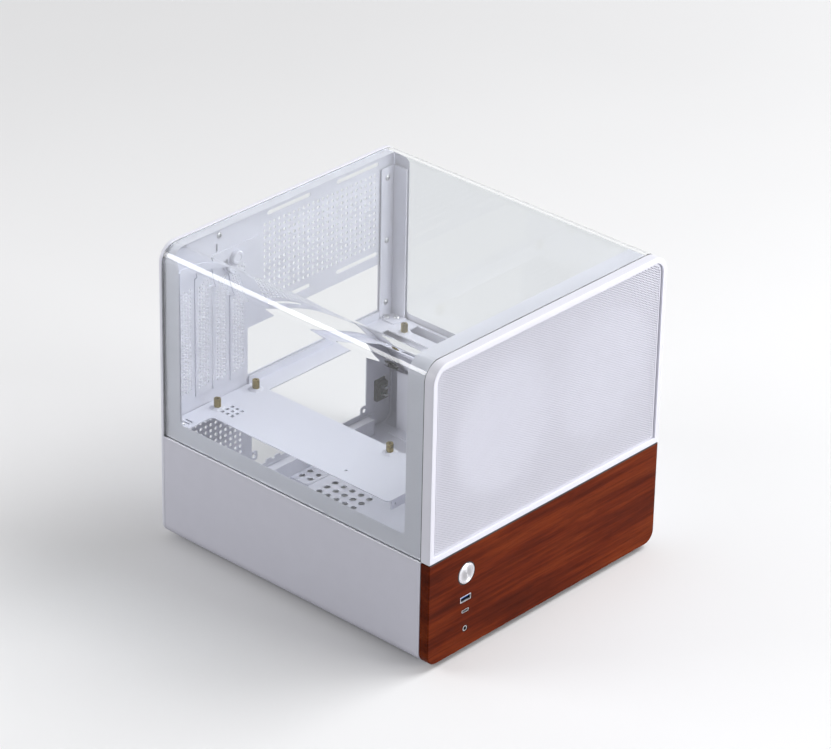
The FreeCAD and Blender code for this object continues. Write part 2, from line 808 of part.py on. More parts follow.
def frontFrame():
    # The frame round the mesh, with a bevelled outer edge and a ledge behind the mesh
    low = splitHeight + seam / 2
    body = bodyPrism(0, low, caseHeight, 0, frontDepth)
    front = [edge for edge in body.Edges if edge.BoundBox.YMax < 1e-3]
    body = body.makeChamfer(rimBevel, front)
    opening = meshOutline(rimWidth, 0, meshRecess + meshThickness)
    behind = meshOutline(rimWidth + meshLedge, meshRecess + meshThickness, frontDepth)
    return body.cut([opening, behind])


def meshOutline(inset, y0, y1):
    low = splitHeight + seam / 2 + inset + rimBottom - rimWidth
    left, right, high = inset, caseWidth - inset, caseHeight - inset
    points = [(left, low), (right, low), (right, high), (left, high)]
    topCorner = max(topRadius - inset, sheet)
    radii = [meshCornerRadius, meshCornerRadius, topCorner, topCorner]
    return plate(roundedWire(points, radii, onFront(y0)), [], vec(0, y1 - y0, 0))


def frontMesh():
    return meshOutline(rimWidth + meshGap, meshRecess, meshRecess + meshThickness)


def woodPanel():
    # Solid wood with a fine chamfer, cut through for the button and the ports
    high = splitHeight - seam / 2
    body = bodyPrism(0, 0, high, 0, woodThickness)
    front = [edge for edge in body.Edges if edge.BoundBox.YMax < 1e-3]
    body = body.makeChamfer(woodChamfer, front)
    hole = cylinder(sleeveOuter() / 2, woodThickness, vec(controlsX, 0, buttonZ), vec(0, 1, 0))
    jack = cylinder(jackDiameter / 2, woodThickness, vec(controlsX, 0, jackZ), vec(0, 1, 0))
    lift = onFront(0)
    push = vec(0, woodThickness, 0)
    usb = plate(rectangle(*portEnds(usbWidth, usbHeight, usbZ), 0, lift), [], push)
    ends = portEnds(usbCWidth, usbCHeight, usbCZ)
    usbC = plate(rectangle(*ends, 0, lift), [], push)
    return body.cut([hole, jack, usb, usbC])


def portEnds(width, height, z):
    return controlsX - width / 2, controlsX + width / 2, z - height / 2, z + height / 2


def sleeveOuter():
    return buttonDiameter + 2 * (buttonRunning + sleeveWall)


def buttonSleeve():
    # The black sleeve that lines the button's hole
    start = vec(controlsX, portRecess, buttonZ)
    length = woodThickness - portRecess
    axis = vec(0, 1, 0)
    tube = prism(sleeveOuter() / 2, sleeveSides, length, start, axis)
    return tube.cut(prism(buttonDiameter / 2 + buttonRunning, sleeveSides, length, start, axis))


def powerButton():
    # A turned metal cap with a bevelled rim and a stem to the switch
    radius = buttonDiameter / 2
    capEnd = woodThickness - buttonTravel - capClearance
    stemEnd = boardFront() - switchThickness - buttonRunning - buttonTravel
    profile = [(0, -buttonProud), (radius - buttonBevel, -buttonProud),
               (radius, -buttonProud + buttonBevel / 2), (radius, capEnd), (stemDiameter / 2, capEnd),
               (stemDiameter / 2, stemEnd), (0, stemEnd)]
    outline = roundedWire(profile, [0] * len(profile), lambda u, v: vec(controlsX + u, v, buttonZ))
    return Part.Face(outline).revolve(vec(controlsX, 0, buttonZ), vec(0, 1, 0), 360)


def boardFront():
    # The ports' board lies on the back of the front chassis sheet
    return chassisFront + sheet


def powerSwitch():
    # A small switch on the board, just behind the button's stem
    half = switchSide / 2
    return box(controlsX - half, controlsX + half, boardFront() - switchThickness, boardFront(),
               buttonZ - half, buttonZ + half)


def usbPortShell():
    ends = portEnds(usbWidth - fitGap, usbHeight - fitGap, usbZ)
    wall = usbShell
    lift = onFront(portRecess)
    inner = rectangle(ends[0] + wall, ends[1] - wall, ends[2] + wall, ends[3] - wall, 0, lift)
    return plate(rectangle(*ends, 0, lift), [inner], vec(0, boardFront() - portRecess, 0))


def usbTongue():
    # The blue tongue on the upper side of the socket
    inside = (usbHeight - fitGap) / 2 - usbShell
    x0, x1 = controlsX - usbWidth / 2 + 3 * usbShell, controlsX + usbWidth / 2 - 3 * usbShell
    top = usbZ + inside - 2 * usbShell
    return box(x0, x1, portRecess + tongueInset, boardFront(), top - tongueThickness, top)


def usbCPort():
    lift = onFront(portRecess)
    width, height = usbCWidth - fitGap, usbCHeight - fitGap
    outer = rectangle(*portEnds(width, height, usbCZ), 0, lift)
    innerHeight = height - 2 * usbShell
    innerEnds = portEnds(width - 2 * usbShell, innerHeight, usbCZ)
    inner = rectangle(*innerEnds, 0, lift)
    shell = plate(outer, [inner], vec(0, boardFront() - portRecess, 0))
    tongue = box(controlsX - width / 2 + 4 * usbShell, controlsX + width / 2 - 4 * usbShell,
                 portRecess + sheet, boardFront(), usbCZ - usbShell, usbCZ + usbShell)
    base = box(controlsX - width / 2 + 4 * usbShell, controlsX + width / 2 - 4 * usbShell,
               boardFront() - sheet, boardFront(), usbCZ - height / 2, usbCZ + height / 2)
    return fuseAll([shell, tongue, base])


def audioJack():
    axis = vec(0, 1, 0)
    barrel = cylinder((jackDiameter - fitGap) / 2, jackLength, vec(controlsX, portRecess, jackZ), axis)
    bore = cylinder(jackBore / 2, jackLength - sheet, vec(controlsX, portRecess, jackZ), axis)
    return barrel.cut(bore)


def boardEnds():
    # The ports' board reaches a margin past the button's switch and the jack
    reach = sleeveOuter() / 2 + boardMargin
    low, high = jackZ - jackDiameter - boardMargin, buttonZ + switchSide + boardMargin
    return controlsX - reach, controlsX + reach, low, high


def frontBoard():
    x0, x1, z0, z1 = boardEnds()
    y0, y1 = boardFront(), boardFront() + boardThickness
    board = box(x0, x1, y0, y1, z0, z1)
    axis = vec(0, 1, 0)
    drills = []
    for x, z in boardScrewSpots():
        drills.append(prism(screwDiameter / 2, screwHoleSides, boardThickness, vec(x, y0, z), axis))
    start = vec(controlsX, y0, jackZ)
    drills.append(prism((jackDiameter + fitGap) / 2, screwSides, boardThickness, start, axis))
    return board.cut(drills)


def boardScrewSpots():
    x0, x1, z0, z1 = boardEnds()
    edge = boardScrewEdge
    return [(x, z) for x in (x0 + edge, x1 - edge) for z in (z0 + edge, z1 - edge)]


def boardScrews():
    back = boardFront() + boardThickness
    pieces = [screw(x, back, z, vec(0, 1, 0), boardThickness + sheet) for x, z in boardScrewSpots()]
    return Part.makeCompound(pieces)


def frontChassis():
    # The front chassis sheet: a shallow pan open to the rear, with two fan openings
    y0 = chassisFront
    lift = onFront(y0)
    holes = []
    for side in (-1, 1):
        x = caseWidth / 2 + side * fanOffset
        holes.append(roundHole(x, fanZ, fanOpening / 2, lift))
        for dx in (-0.5, 0.5):
            for dz in (-0.5, 0.5):
                u, v = x + dx * fanHolePitch, fanZ + dz * fanHolePitch
                holes.append(roundHole(u, v, fanHoleRadius, lift))
    x0, x1, z0, z1 = boardEnds()
    lap = screwHead + sheet
    holes.append(rectangle(x0 + lap, x1 - lap, z0 + lap / 2, z1 - lap / 2, 0, lift))
    airLeft, airRight = x1 + frameWindowMargin, caseWidth - wallInset - frameWindowMargin
    holes.append(rectangle(airLeft, airRight, floorTop + frameWindowMargin, frameTop - frameWindowMargin,
                           0, lift))
    for x, z in boardScrewSpots():
        holes.append(drill(x, z, screwDiameter / 2, lift))
    high = caseHeight - wallInset
    outer = bodyOutline(wallInset, floorTop, high, lift)
    wall = plate(outer, holes, vec(0, sheet, 0))
    edge = bodyPrism(wallInset, floorTop, high, y0, y0 + frontReturn)
    edge = edge.cut(bodyPrism(wallInset + sheet, floorTop + sheet, high - sheet, y0, y0 + frontReturn))
    deck = box(deckStrip + fitGap, caseWidth - deckStrip - fitGap, y0, deckFront, deckTop - sheet, deckTop)
    return fuseAll([wall, edge, deck])


def pieces():
    named = {
        "rear_panel": rearPanel(),
        "slot_retainer": slotRetainer(),
        "slot_thumbscrew": thumbscrew(),
        "power_socket": powerSocket(),
        "power_socket_pins": socketPins(),
        "motherboard_tray": motherboardTray(),
        "board_standoffs": standoffs(),
        "floor_plate": floorPlate(),
        "left_side_frame": sideFrame("left"),
        "right_side_frame": sideFrame("right"),
        "left_rear_post": rearPost(postLeftLeg),
        "right_rear_post": mirrored(rearPost(postRightLeg)),
        "chassis_screws": chassisScrews(),
        "psu_front_rail": psuRail(rearWall - psuLength),
        "psu_rear_rail": psuRail(rearWall - sheet - psuRailWidth),
        "rubber_feet": feet(),
        "left_lower_panel": lowerPanel("left"),
        "right_lower_panel": lowerPanel("right"),
        "glass_cover": glassCover(),
        "front_frame": frontFrame(),
        "front_mesh": frontMesh(),
        "wood_panel": woodPanel(),
        "button_sleeve": buttonSleeve(),
        "power_button": powerButton(),
        "power_switch": powerSwitch(),
        "usb_a_shell": usbPortShell(),
        "usb_a_tongue": usbTongue(),
        "usb_c_port": usbCPort(),
        "audio_jack": audioJack(),
        "front_port_board": frontBoard(),
        "port_board_screws": boardScrews(),
        "front_chassis": frontChassis(),
    }
    for index in range(slotCount):
        named["slot_cover_" + str(index + 1)] = slotCover(index)
    return named


def writeParts():
    os.makedirs("parts", exist_ok=True)
    toOrigin = vec(-caseWidth / 2, -(caseDepth - buttonProud) / 2, footHeight)
    for name, shape in pieces().items():
        shape.translate(toOrigin)
        shape.exportStep("parts/" + name + ".step")
        print(name, len(shape.Solids), round(shape.Volume), shape.isValid())


writeParts()
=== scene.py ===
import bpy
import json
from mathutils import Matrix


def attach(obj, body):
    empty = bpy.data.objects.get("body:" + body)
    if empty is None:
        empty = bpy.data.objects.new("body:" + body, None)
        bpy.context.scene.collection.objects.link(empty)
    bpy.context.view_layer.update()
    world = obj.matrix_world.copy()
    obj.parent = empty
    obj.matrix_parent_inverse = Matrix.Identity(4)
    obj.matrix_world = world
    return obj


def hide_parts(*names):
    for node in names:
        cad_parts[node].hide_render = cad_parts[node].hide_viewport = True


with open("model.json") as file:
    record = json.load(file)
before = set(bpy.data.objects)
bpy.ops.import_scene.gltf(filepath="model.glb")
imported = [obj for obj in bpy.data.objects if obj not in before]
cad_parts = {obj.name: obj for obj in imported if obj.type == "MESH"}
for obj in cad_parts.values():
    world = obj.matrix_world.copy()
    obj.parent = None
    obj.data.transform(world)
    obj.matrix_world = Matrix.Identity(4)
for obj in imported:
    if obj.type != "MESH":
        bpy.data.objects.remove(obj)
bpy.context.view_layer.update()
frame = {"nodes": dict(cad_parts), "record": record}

import json
import math
import bmesh
import bpy
from mathutils import Vector

# Lengths below are in millimetres from the body's left side, front face and underside.
# The solids' own values that the looks must follow, the same as in the part's source.
solid = {
    "width": 282.0, "depth": 304.0, "height": 272.0, "split": 95.0, "foot": 5.0, "proud": 0.9,
    "topRadius": 16.0, "bottomRadius": 11.0, "sheet": 1.0, "seam": 0.8, "inset": 5.0,
    "rearWall": 300.5, "rimDepth": 3.0, "front": 9.4, "glass": 4.0,
}
middleX, middleY = solid["width"] / 2, (solid["depth"] - solid["proud"]) / 2
sheet, wall, depth = solid["sheet"], solid["rearWall"], solid["depth"]


def atMm(x, y, z):
    return Vector(((x - middleX) / 1000, (y - middleY) / 1000, (z + solid["foot"]) / 1000))


def addObject(name, data):
    made = bpy.data.objects.new(name, data)
    bpy.context.scene.collection.objects.link(made)
    return made


# Node materials

def addNode(tree, kind, inputs=(), **settings):
    # A node with its settings; each input, by name or place, takes a value or another node's output
    node = tree.nodes.new(kind)
    for key, value in settings.items():
        setattr(node, key, value)
    for label, value in dict(inputs).items():
        if isinstance(value, bpy.types.NodeSocket):
            tree.links.new(value, node.inputs[label])
        else:
            node.inputs[label].default_value = value
    return node


def newMaterial(name, color, roughness, metallic=0.0):
    material = bpy.data.materials.new(name)
    material.use_nodes = True
    shader = material.node_tree.nodes["Principled BSDF"]
    shader.inputs["Base Color"].default_value = (*color, 1)
    shader.inputs["Roughness"].default_value = roughness
    shader.inputs["Metallic"].default_value = metallic
    return material, material.node_tree, shader


def dimmed(color, amount):
    return tuple(channel * amount for channel in color)


def objectCoords(tree, scale=(1, 1, 1), location=(0, 0, 0)):
    coords = addNode(tree, "ShaderNodeTexCoord").outputs["Object"]
    inputs = {"Vector": coords, "Location": location, "Scale": scale}
    return addNode(tree, "ShaderNodeMapping", inputs).outputs["Vector"]


def lengthOf(tree, vector):
    node = addNode(tree, "ShaderNodeVectorMath", {0: vector}, operation="LENGTH")
    return node.outputs["Value"]


def noise(tree, vector, scale, detail, distortion=0.0):
    inputs = {"Vector": vector, "Scale": scale, "Detail": detail, "Distortion": distortion}
    return addNode(tree, "ShaderNodeTexNoise", inputs).outputs["Fac"]


def ramp(tree, factor, stops):
    node = addNode(tree, "ShaderNodeValToRGB", {"Fac": factor})
    elements = node.color_ramp.elements
    elements[0].position, elements[0].color = stops[0][0], (*stops[0][1], 1)
    elements[1].position, elements[1].color = stops[-1][0], (*stops[-1][1], 1)
    for place, color in stops[1:-1]:
        elements.new(place).color = (*color, 1)
    return node.outputs["Color"]


def varyRoughness(tree, shader, factor, low, high, start=0.3, end=0.7):
    shade = ramp(tree, factor, ((start, (low,) * 3), (end, (high,) * 3)))
    tree.links.new(shade, shader.inputs["Roughness"])


def bump(tree, shader, height, strength, distance):
    inputs = {"Height": height, "Strength": strength, "Distance": distance}
    node = addNode(tree, "ShaderNodeBump", inputs)
    tree.links.new(node.outputs["Normal"], shader.inputs["Normal"])


def multiplied(tree, color, shade, amount):
    inputs = {"Factor": amount, "A": color, "B": shade}
    mix = addNode(tree, "ShaderNodeMix", inputs, data_type="RGBA", blend_type="MULTIPLY")
    return mix.outputs["Result"]


def paint(name, color, roughness):
    # Fine powder coat: faint mottling of colour and gloss, a fine grain in the surface
    material, tree, shader = newMaterial(name, color, roughness)
    vector = objectCoords(tree)
    mottled = ramp(tree, noise(tree, vector, 90, 4), ((0.35, dimmed(color, 0.985)), (0.65, color)))
    tree.links.new(mottled, shader.inputs["Base Color"])
    varyRoughness(tree, shader, noise(tree, vector, 260, 3), roughness - 0.06, roughness + 0.06)
    bump(tree, shader, noise(tree, vector, 2600, 2), 0.05, 0.0002)
    return material


def walnut(name):
    # Straight grain along the panel's width: long soft bands, fine streaks and short dark pores
    material, tree, shader = newMaterial(name, (0.09, 0.016, 0.006), 0.36)
    shader.inputs["Specular IOR Level"].default_value = 0.05
    bands = noise(tree, objectCoords(tree, (1.6, 6.0, 14.0)), 6.0, 4, 0.5)
    color = ramp(tree, bands, ((0.28, (0.074, 0.0084, 0.0008)), (0.45, (0.112, 0.0136, 0.0016)),
                               (0.60, (0.152, 0.0230, 0.0036)), (0.78, (0.200, 0.0350, 0.0072))))
    streaks = noise(tree, objectCoords(tree, (3.0, 60.0, 95.0)), 5.0, 6, 0.25)
    shade = ramp(tree, streaks, ((0.36, (0.60, 0.54, 0.50)), (0.62, (1.16, 1.16, 1.16))))
    color = multiplied(tree, color, shade, 0.6)
    pores = noise(tree, objectCoords(tree, (9.0, 140.0, 140.0)), 9.0, 3)
    shade = ramp(tree, pores, ((0.36, (0.6, 0.55, 0.55)), (0.5, (1, 1, 1))))
    color = multiplied(tree, color, shade, 0.55)
    tree.links.new(color, shader.inputs["Base Color"])
    varyRoughness(tree, shader, streaks, 0.44, 0.32)
    bump(tree, shader, pores, 0.08, 0.0002)
    return material


def turnedMetal(name, color, axis):
    # Fine rings round the button's axis, whose gloss spreads outwards in two bright sectors;
    # the face within the bevel is painted darker, painted shade beside the bright bevel
    material, tree, shader = newMaterial(name, color, 0.3, 1.0)
    shader.inputs["Anisotropic"].default_value = 0.9
    center = atMm(axis[0], 0, axis[1])
    fromAxis = objectCoords(tree, (1, 0, 1), (-center.x, 0, -center.z))
    tree.links.new(fromAxis, shader.inputs["Tangent"])
    distance = lengthOf(tree, fromAxis)
    # Painted shade: within 6.9 mm of the axis the colour is dimmed to 0.62, the bevel keeps it
    # whole
    paintedShadeFace = ramp(tree, distance, ((0.0069, dimmed(color, 0.62)), (0.0071, color)))
    tree.links.new(paintedShadeFace, shader.inputs["Base Color"])
    along = addNode(tree, "ShaderNodeCombineXYZ", {"X": distance}).outputs["Vector"]
    rings = noise(tree, along, 1500, 3)
    varyRoughness(tree, shader, rings, 0.26, 0.42)
    bump(tree, shader, rings, 0.3, 0.0001)
    return material


def brushed(name, color, roughness, scale):
    material, tree, shader = newMaterial(name, color, roughness, 1.0)
    streaks = noise(tree, objectCoords(tree, scale), 40, 4)
    varyRoughness(tree, shader, streaks, roughness - 0.08, roughness + 0.1)
    bump(tree, shader, streaks, 0.06, 0.0001)
    return material


def plastic(name, color, roughness):
    material, tree, shader = newMaterial(name, color, roughness)
    grain = noise(tree, objectCoords(tree), 1800, 2)
    varyRoughness(tree, shader, grain, roughness - 0.05, roughness + 0.05)
    bump(tree, shader, grain, 0.08, 0.0002)
    return material


def clearGlass(name):
    # Clear glass that lets the lamps' light through to the inside, dimmed more than its own look:
    # the shadow rays' colour is painted shade on everything inside the case
    material, tree, shader = newMaterial(name, (0.89, 0.905, 0.915), 0.0)
    shader.inputs["Transmission Weight"].default_value = 1.0
    shader.inputs["IOR"].default_value = 1.46
    shader.inputs["Specular IOR Level"].default_value = 0.3
    varyRoughness(tree, shader, noise(tree, objectCoords(tree), 14, 3), 0.0, 0.012, 0.45, 0.8)
    # Painted shade: the lamps' light passes at about 0.63, darker than the glass looks
    through = addNode(tree, "ShaderNodeBsdfTransparent", {"Color": (0.62, 0.635, 0.65, 1)})
    shadow = addNode(tree, "ShaderNodeLightPath").outputs["Is Shadow Ray"]
    mix = addNode(tree, "ShaderNodeMixShader", {"Fac": shadow, 1: shader.outputs["BSDF"],
                                                2: through.outputs["BSDF"]})
    tree.links.new(mix.outputs["Shader"], tree.nodes["Material Output"].inputs["Surface"])
    return material


buttonAxis = (44.5, 70.3)
materials = {
    "white_steel": paint("whitePowderCoat", (0.775, 0.775, 0.855), 0.42),
    # The lower side panels get a darker copy of the white powder coat: painted shade of the side
    # turned from the light
    "side_paint": paint("sidePowderCoatPaintedShade", (0.655, 0.655, 0.735), 0.45),
    "clear_glass": clearGlass("clearGlass"),
    "walnut": walnut("walnut"),
    "turned_metal": turnedMetal("turnedMetal", (0.84, 0.84, 0.88), buttonAxis),
    "black_plastic": plastic("blackPlastic", (0.018, 0.018, 0.02), 0.42),
    "blue_plastic": plastic("bluePlastic", (0.03, 0.16, 0.55), 0.35),
    "port_steel": brushed("portSteel", (0.88, 0.88, 0.90), 0.28, (1, 8, 1)),
    "screw_steel": brushed("screwSteel", (0.66, 0.66, 0.68), 0.3, (4, 4, 4)),
    "brass": brushed("brass", (0.27, 0.205, 0.065), 0.32, (1, 1, 6)),
    "foot_rubber": plastic("footRubber", (0.02, 0.02, 0.02), 0.75),
    "board_black": plastic("boardBlack", (0.015, 0.03, 0.02), 0.4),
}
white = materials["white_steel"]
for part in frame["record"]["subparts"]:
    mesh = frame["nodes"][part["node"]].data
    mesh.materials.clear()
    mesh.materials.append(materials[part["material_slot"]])
print("materials done")


# Outlines and swept solids

def arcPoints(center, radius, start, end, steps):
    points = []
    for i in range(steps + 1):
        angle = math.radians(start + (end - start) * i / steps)
        points.append((center[0] + radius * math.cos(angle), center[1] + radius * math.sin(angle)))
    return points


def circlePoints(center, radius, sides=24):
    return arcPoints(center, radius, 0, 360 - 360 / sides, sides - 1)


def bend(center, radius, start, end, steps, lead=0.3):
    # An arc with one more point just before and just after it, so that the flats beside it
    # stay flat in the light
    points = arcPoints(center, radius, start, end, steps)
    lead = lead if end > start else -lead
    first, last = math.radians(start), math.radians(end)
    before = (points[0][0] + lead * math.sin(first), points[0][1] - lead * math.cos(first))
    after = (points[-1][0] - lead * math.sin(last), points[-1][1] + lead * math.cos(last))
    return [before] + points + [after]


def supported(points, longSide=1.5, reach=0.2):
    # One more point close to each end of every long side, for the same reason
    result = []
    for i, point in enumerate(points):
        here, after = Vector(point), Vector(points[(i + 1) % len(points)])
        result.append(tuple(here))
        length = (after - here).length
        if length > longSide:
            step = (after - here) / length * reach
            result += [tuple(here + step), tuple(after - step)]
    return result


def roundedBox(u0, u1, v0, v1, radius, steps=4):
    corners = ((u1 - radius, v1 - radius), (u0 + radius, v1 - radius),
               (u0 + radius, v0 + radius), (u1 - radius, v0 + radius))
    points = []
    for i, corner in enumerate(corners):
        points += arcPoints(corner, radius, i * 90, i * 90 + 90, steps)
    return points


def centeredBox(u, v, wide, tall, radius, steps=4):
    return roundedBox(u - wide / 2, u + wide / 2, v - tall / 2, v + tall / 2, radius, steps)


def bodyOutline(inset, low, lowRadius, lowExtra, steps, sharpest=0.4):
    # Rounded rectangle of the body from the given height up, drawn in by the inset
    left, right, high = inset, solid["width"] - inset, solid["height"] - inset
    bottom = low + inset * lowExtra
    under, over = (max(radius - inset, sharpest) for radius in (lowRadius, solid["topRadius"]))
    corners = ((right - over, high - over, over), (left + over, high - over, over),
               (left + under, bottom + under, under), (right - under, bottom + under, under))
    points = []
    for i, (x, z, radius) in enumerate(corners):
        points += bend((x, z), radius, i * 90, i * 90 + 90, steps)
    return points


def glassPath(inset, low, steps=24):
    # Up the left side, over the top and down the right side
    radius = solid["topRadius"]
    right, high = solid["width"], solid["height"]
    half = (low + high - radius) / 2
    return ([(inset, low), (inset, half)]
            + bend((radius, high - radius), radius - inset, 180, 90, steps)
            + bend((right - radius, high - radius), radius - inset, 90, 0, steps)
            + [(right - inset, half), (right - inset, low)])


def softened(points, radius=0, steps=3):
    # A closed outline with its corners rounded; a corner's own radius may be given with it
    result = []
    for i, point in enumerate(points):
        before, after = Vector(points[i - 1][:2]), Vector(points[(i + 1) % len(points)][:2])
        here = Vector(point[:2])
        reach = point[2] if len(point) > 2 else radius
        if reach == 0:
            result.append(tuple(here))
            continue
        start = here + (before - here).normalized() * reach
        end = here + (after - here).normalized() * reach
        for step in range(steps + 1):
            t = step / steps
            result.append(tuple(start * (1 - t) ** 2 + here * 2 * t * (1 - t) + end * t ** 2))
    return result


def setPiece(name, mesh, body, replaced, angle=None):
    # Smooth across edges of less than the angle, or flat where none is given
    if angle:
        mesh.shade_smooth()
        mesh.set_sharp_from_angle(angle=math.radians(angle))
    piece = addObject(name, mesh)
    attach(piece, body)
    if replaced:
        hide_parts(*replaced)


def finishMesh(name, build, slotName, body, replaced, angle=35, material=None):
    bmesh.ops.recalc_face_normals(build, faces=build.faces)
    mesh = bpy.data.meshes.new(name)
    build.to_mesh(mesh)
    build.free()
    mesh.materials.append(material or materials[slotName])
    setPiece(name, mesh, body, replaced, angle)


def stitch(build, rows, closed=True):
    # Faces between each row of vertices and the next, all the way round where the rows are closed
    count = len(rows[0])
    for a, b in zip(rows, rows[1:]):
        for i in range(count if closed else count - 1):
            k = (i + 1) % count
            build.faces.new((a[i], a[k], b[k], b[i]))


def addTurned(build, rows):
    # A solid of rings, with a face at either end
    stitch(build, rows)
    build.faces.new(rows[0])
    build.faces.new(list(reversed(rows[-1])))


def addSweep(build, profile, path, closed):
    # Carries a closed profile of (inset, depth) points along a path that depends on the inset
    rows = [[build.verts.new(atMm(x, y, z)) for x, z in path(inset)]
            for inset, y in supported(profile)]
    stitch(build, rows + rows[:1], closed)
    if not closed:
        build.faces.new([row[0] for row in rows])
        build.faces.new([row[-1] for row in reversed(rows)])


def addTube(build, outer, inner, start, end):
    # A tube along y between two outlines with as many points each
    rings = [[build.verts.new(atMm(x, y, z)) for x, z in outline]
             for outline, y in ((outer, start), (inner, start), (inner, end), (outer, end))]
    stitch(build, rings + rings[:1])


def addPrism(build, outline, start, end, sideways=False):
    # An outline in x and z pushed along y, or one in y and z pushed sideways along x
    near, far = ([build.verts.new(atMm(at, u, v) if sideways else atMm(u, at, v))
                  for u, v in outline] for at in (start, end))
    build.faces.new(near)
    build.faces.new(list(reversed(far)))
    stitch(build, [near, far])


# Glass cover
cover = {"low": 95.0, "front": 9.8, "rear": 300.6, "bevel": 0.6}
build = bmesh.new()
profile = softened([(0, cover["front"]), (solid["glass"], cover["front"]),
                    (solid["glass"], cover["rear"]), (0, cover["rear"])], cover["bevel"])
addSweep(build, profile, lambda inset: glassPath(inset, cover["low"]), False)
finishMesh("bent_glass", build, "clear_glass", "glass_cover", ["glass_cover"])

# White border printed on the glass's inner face
border = {"near": 4.05, "far": 4.2, "front": 9.85, "rear": 300.5, "windowFront": 29.2,
          "windowRear": 283.0, "topRear": 291.0, "low": 95.1, "windowLow": 112.0, "corner": 4.0,
          "cornerShare": 0.98, "color": (0.74, 0.74, 0.805), "roughness": 0.45, "gloss": 0.1}
near, far, front, back = (border[key] for key in ("near", "far", "front", "rear"))
windowFront, windowRear = border["windowFront"], border["windowRear"]
windowLow = border["windowLow"]
cornerTop, cornerRadius = windowLow + border["corner"], border["corner"] * border["cornerShare"]
build = bmesh.new()
for start, end in ((front, windowFront), (windowRear, back)):
    profile = [(near, start), (far, start), (far, end), (near, end)]
    addSweep(build, profile, lambda inset: glassPath(inset, cornerTop), False)
# On top the rear band is narrower, and its edge runs across within the bends
bendLow, bendHigh = solid["height"] - solid["topRadius"], solid["height"] - far
for vertex in build.verts:
    y, z = vertex.co.y * 1000 + middleY, vertex.co.z * 1000 - solid["foot"]
    if abs(y - windowRear) < 1 and z > bendLow:
        t = min((z - bendLow) / (bendHigh - bendLow), 1)
        vertex.co.y += (border["topRear"] - windowRear) / 1000 * t * t * (3 - 2 * t)
outline = softened([(front, border["low"]), (back, border["low"]), (back, cornerTop),
                    (windowRear, cornerTop), (windowRear, windowLow, cornerRadius),
                    (windowFront, windowLow, cornerRadius), (windowFront, cornerTop),
                    (front, cornerTop)], steps=6)
addPrism(build, outline, near, far, True)
addPrism(build, outline, solid["width"] - near, solid["width"] - far, True)
ink = paint("printedBorder", border["color"], border["roughness"])
ink.node_tree.nodes["Principled BSDF"].inputs["Specular IOR Level"].default_value = border["gloss"]
finishMesh("printed_border", build, "white_steel", "glass_cover", [], material=ink)
print("glass done")

# Front frame round the mesh
rim = {"wide": 5.0, "bottom": 5.6, "ledge": 3.0, "ledgeStart": 5.3, "lip": (4.3, 5.3),
       "lipEnd": 11.4, "lowRadius": 0.6, "steps": 16}
frameLow = solid["split"] + solid["seam"] / 2


def frontOutline(inset):
    return bodyOutline(inset, frameLow, rim["lowRadius"], rim["bottom"] / rim["wide"], rim["steps"])


build = bmesh.new()
ledge, frameBack = rim["wide"] + rim["ledge"], solid["front"]
lipNear, lipFar = rim["lip"]
profile = softened([(0, 0, 1.0), (0, frameBack, 0.2), (lipNear, frameBack),
                    (lipNear, rim["lipEnd"], 0.1), (lipFar, rim["lipEnd"], 0.1),
                    (lipFar, frameBack), (ledge, frameBack, 0.2), (ledge, rim["ledgeStart"], 0.2),
                    (rim["wide"], rim["ledgeStart"]), (rim["wide"], 0, 0.5)], steps=6)
addSweep(build, profile, frontOutline, True)
finishMesh("front_rim", build, "white_steel", "case", ["front_frame"])

# Dark strip in the seam between front frame and wood, down to the middle of the wood's chamfer:
# a black sheet where the gap has only shade, painted shadow
strip = {"side": 1.0, "front": 0.25, "chamferEnd": 0.8, "back": 6.0, "gap": 0.04}
low, high = solid["split"] - solid["seam"] / 2 + strip["gap"], frameLow - strip["gap"]
build = bmesh.new()
outline = [(strip["front"], low - strip["chamferEnd"] + strip["front"]), (strip["front"], high),
           (strip["back"], high), (strip["back"], low), (strip["chamferEnd"], low)]
addPrism(build, outline, strip["side"], solid["width"] - strip["side"], True)
finishMesh("seam_strip", build, "black_plastic", "case", [])
print("front frame done")


# Geometry Nodes for what repeats

def nodeGroup(name, inputs):
    # The group, what comes in by name, and where its result goes
    group = bpy.data.node_groups.new(name, "GeometryNodeTree")
    for label, kind in [("Geometry", "Geometry")] + inputs:
        group.interface.new_socket(label, in_out="INPUT", socket_type="NodeSocket" + kind)
    group.interface.new_socket("Geometry", in_out="OUTPUT", socket_type="NodeSocketGeometry")
    given = group.nodes.new("NodeGroupInput").outputs
    return group, given, group.nodes.new("NodeGroupOutput").inputs["Geometry"]


def mathNode(tree, operation, *values):
    return addNode(tree, "ShaderNodeMath", enumerate(values), operation=operation).outputs["Value"]


def gridPoints(group, given):
    # A grid of points whose every second column is shifted by the stagger
    columns, rows = given["Columns"], given["Rows"]
    sizes = []
    for count, pitch in ((columns, "Pitch X"), (rows, "Pitch Y")):
        steps = mathNode(group, "SUBTRACT", count, 1)
        sizes.append(mathNode(group, "MULTIPLY", steps, given[pitch]))
    grid = addNode(group, "GeometryNodeMeshGrid", {"Size X": sizes[0], "Size Y": sizes[1],
                                                   "Vertices X": columns, "Vertices Y": rows})
    index = addNode(group, "GeometryNodeInputIndex").outputs["Index"]
    column = mathNode(group, "DIVIDE", mathNode(group, "ADD", index, 0.5), rows)
    odd = mathNode(group, "MODULO", mathNode(group, "FLOOR", column), 2)
    shift = mathNode(group, "MULTIPLY", odd, given["Stagger"])
    offset = addNode(group, "ShaderNodeCombineXYZ", {"Y": shift}).outputs["Vector"]
    moved = addNode(group, "GeometryNodeSetPosition", {"Geometry": grid.outputs["Mesh"],
                                                       "Offset": offset})
    placed = addNode(group, "GeometryNodeTransform", {"Geometry": moved.outputs["Geometry"],
                                                      "Translation": given["Middle"]})
    return placed.outputs["Geometry"]


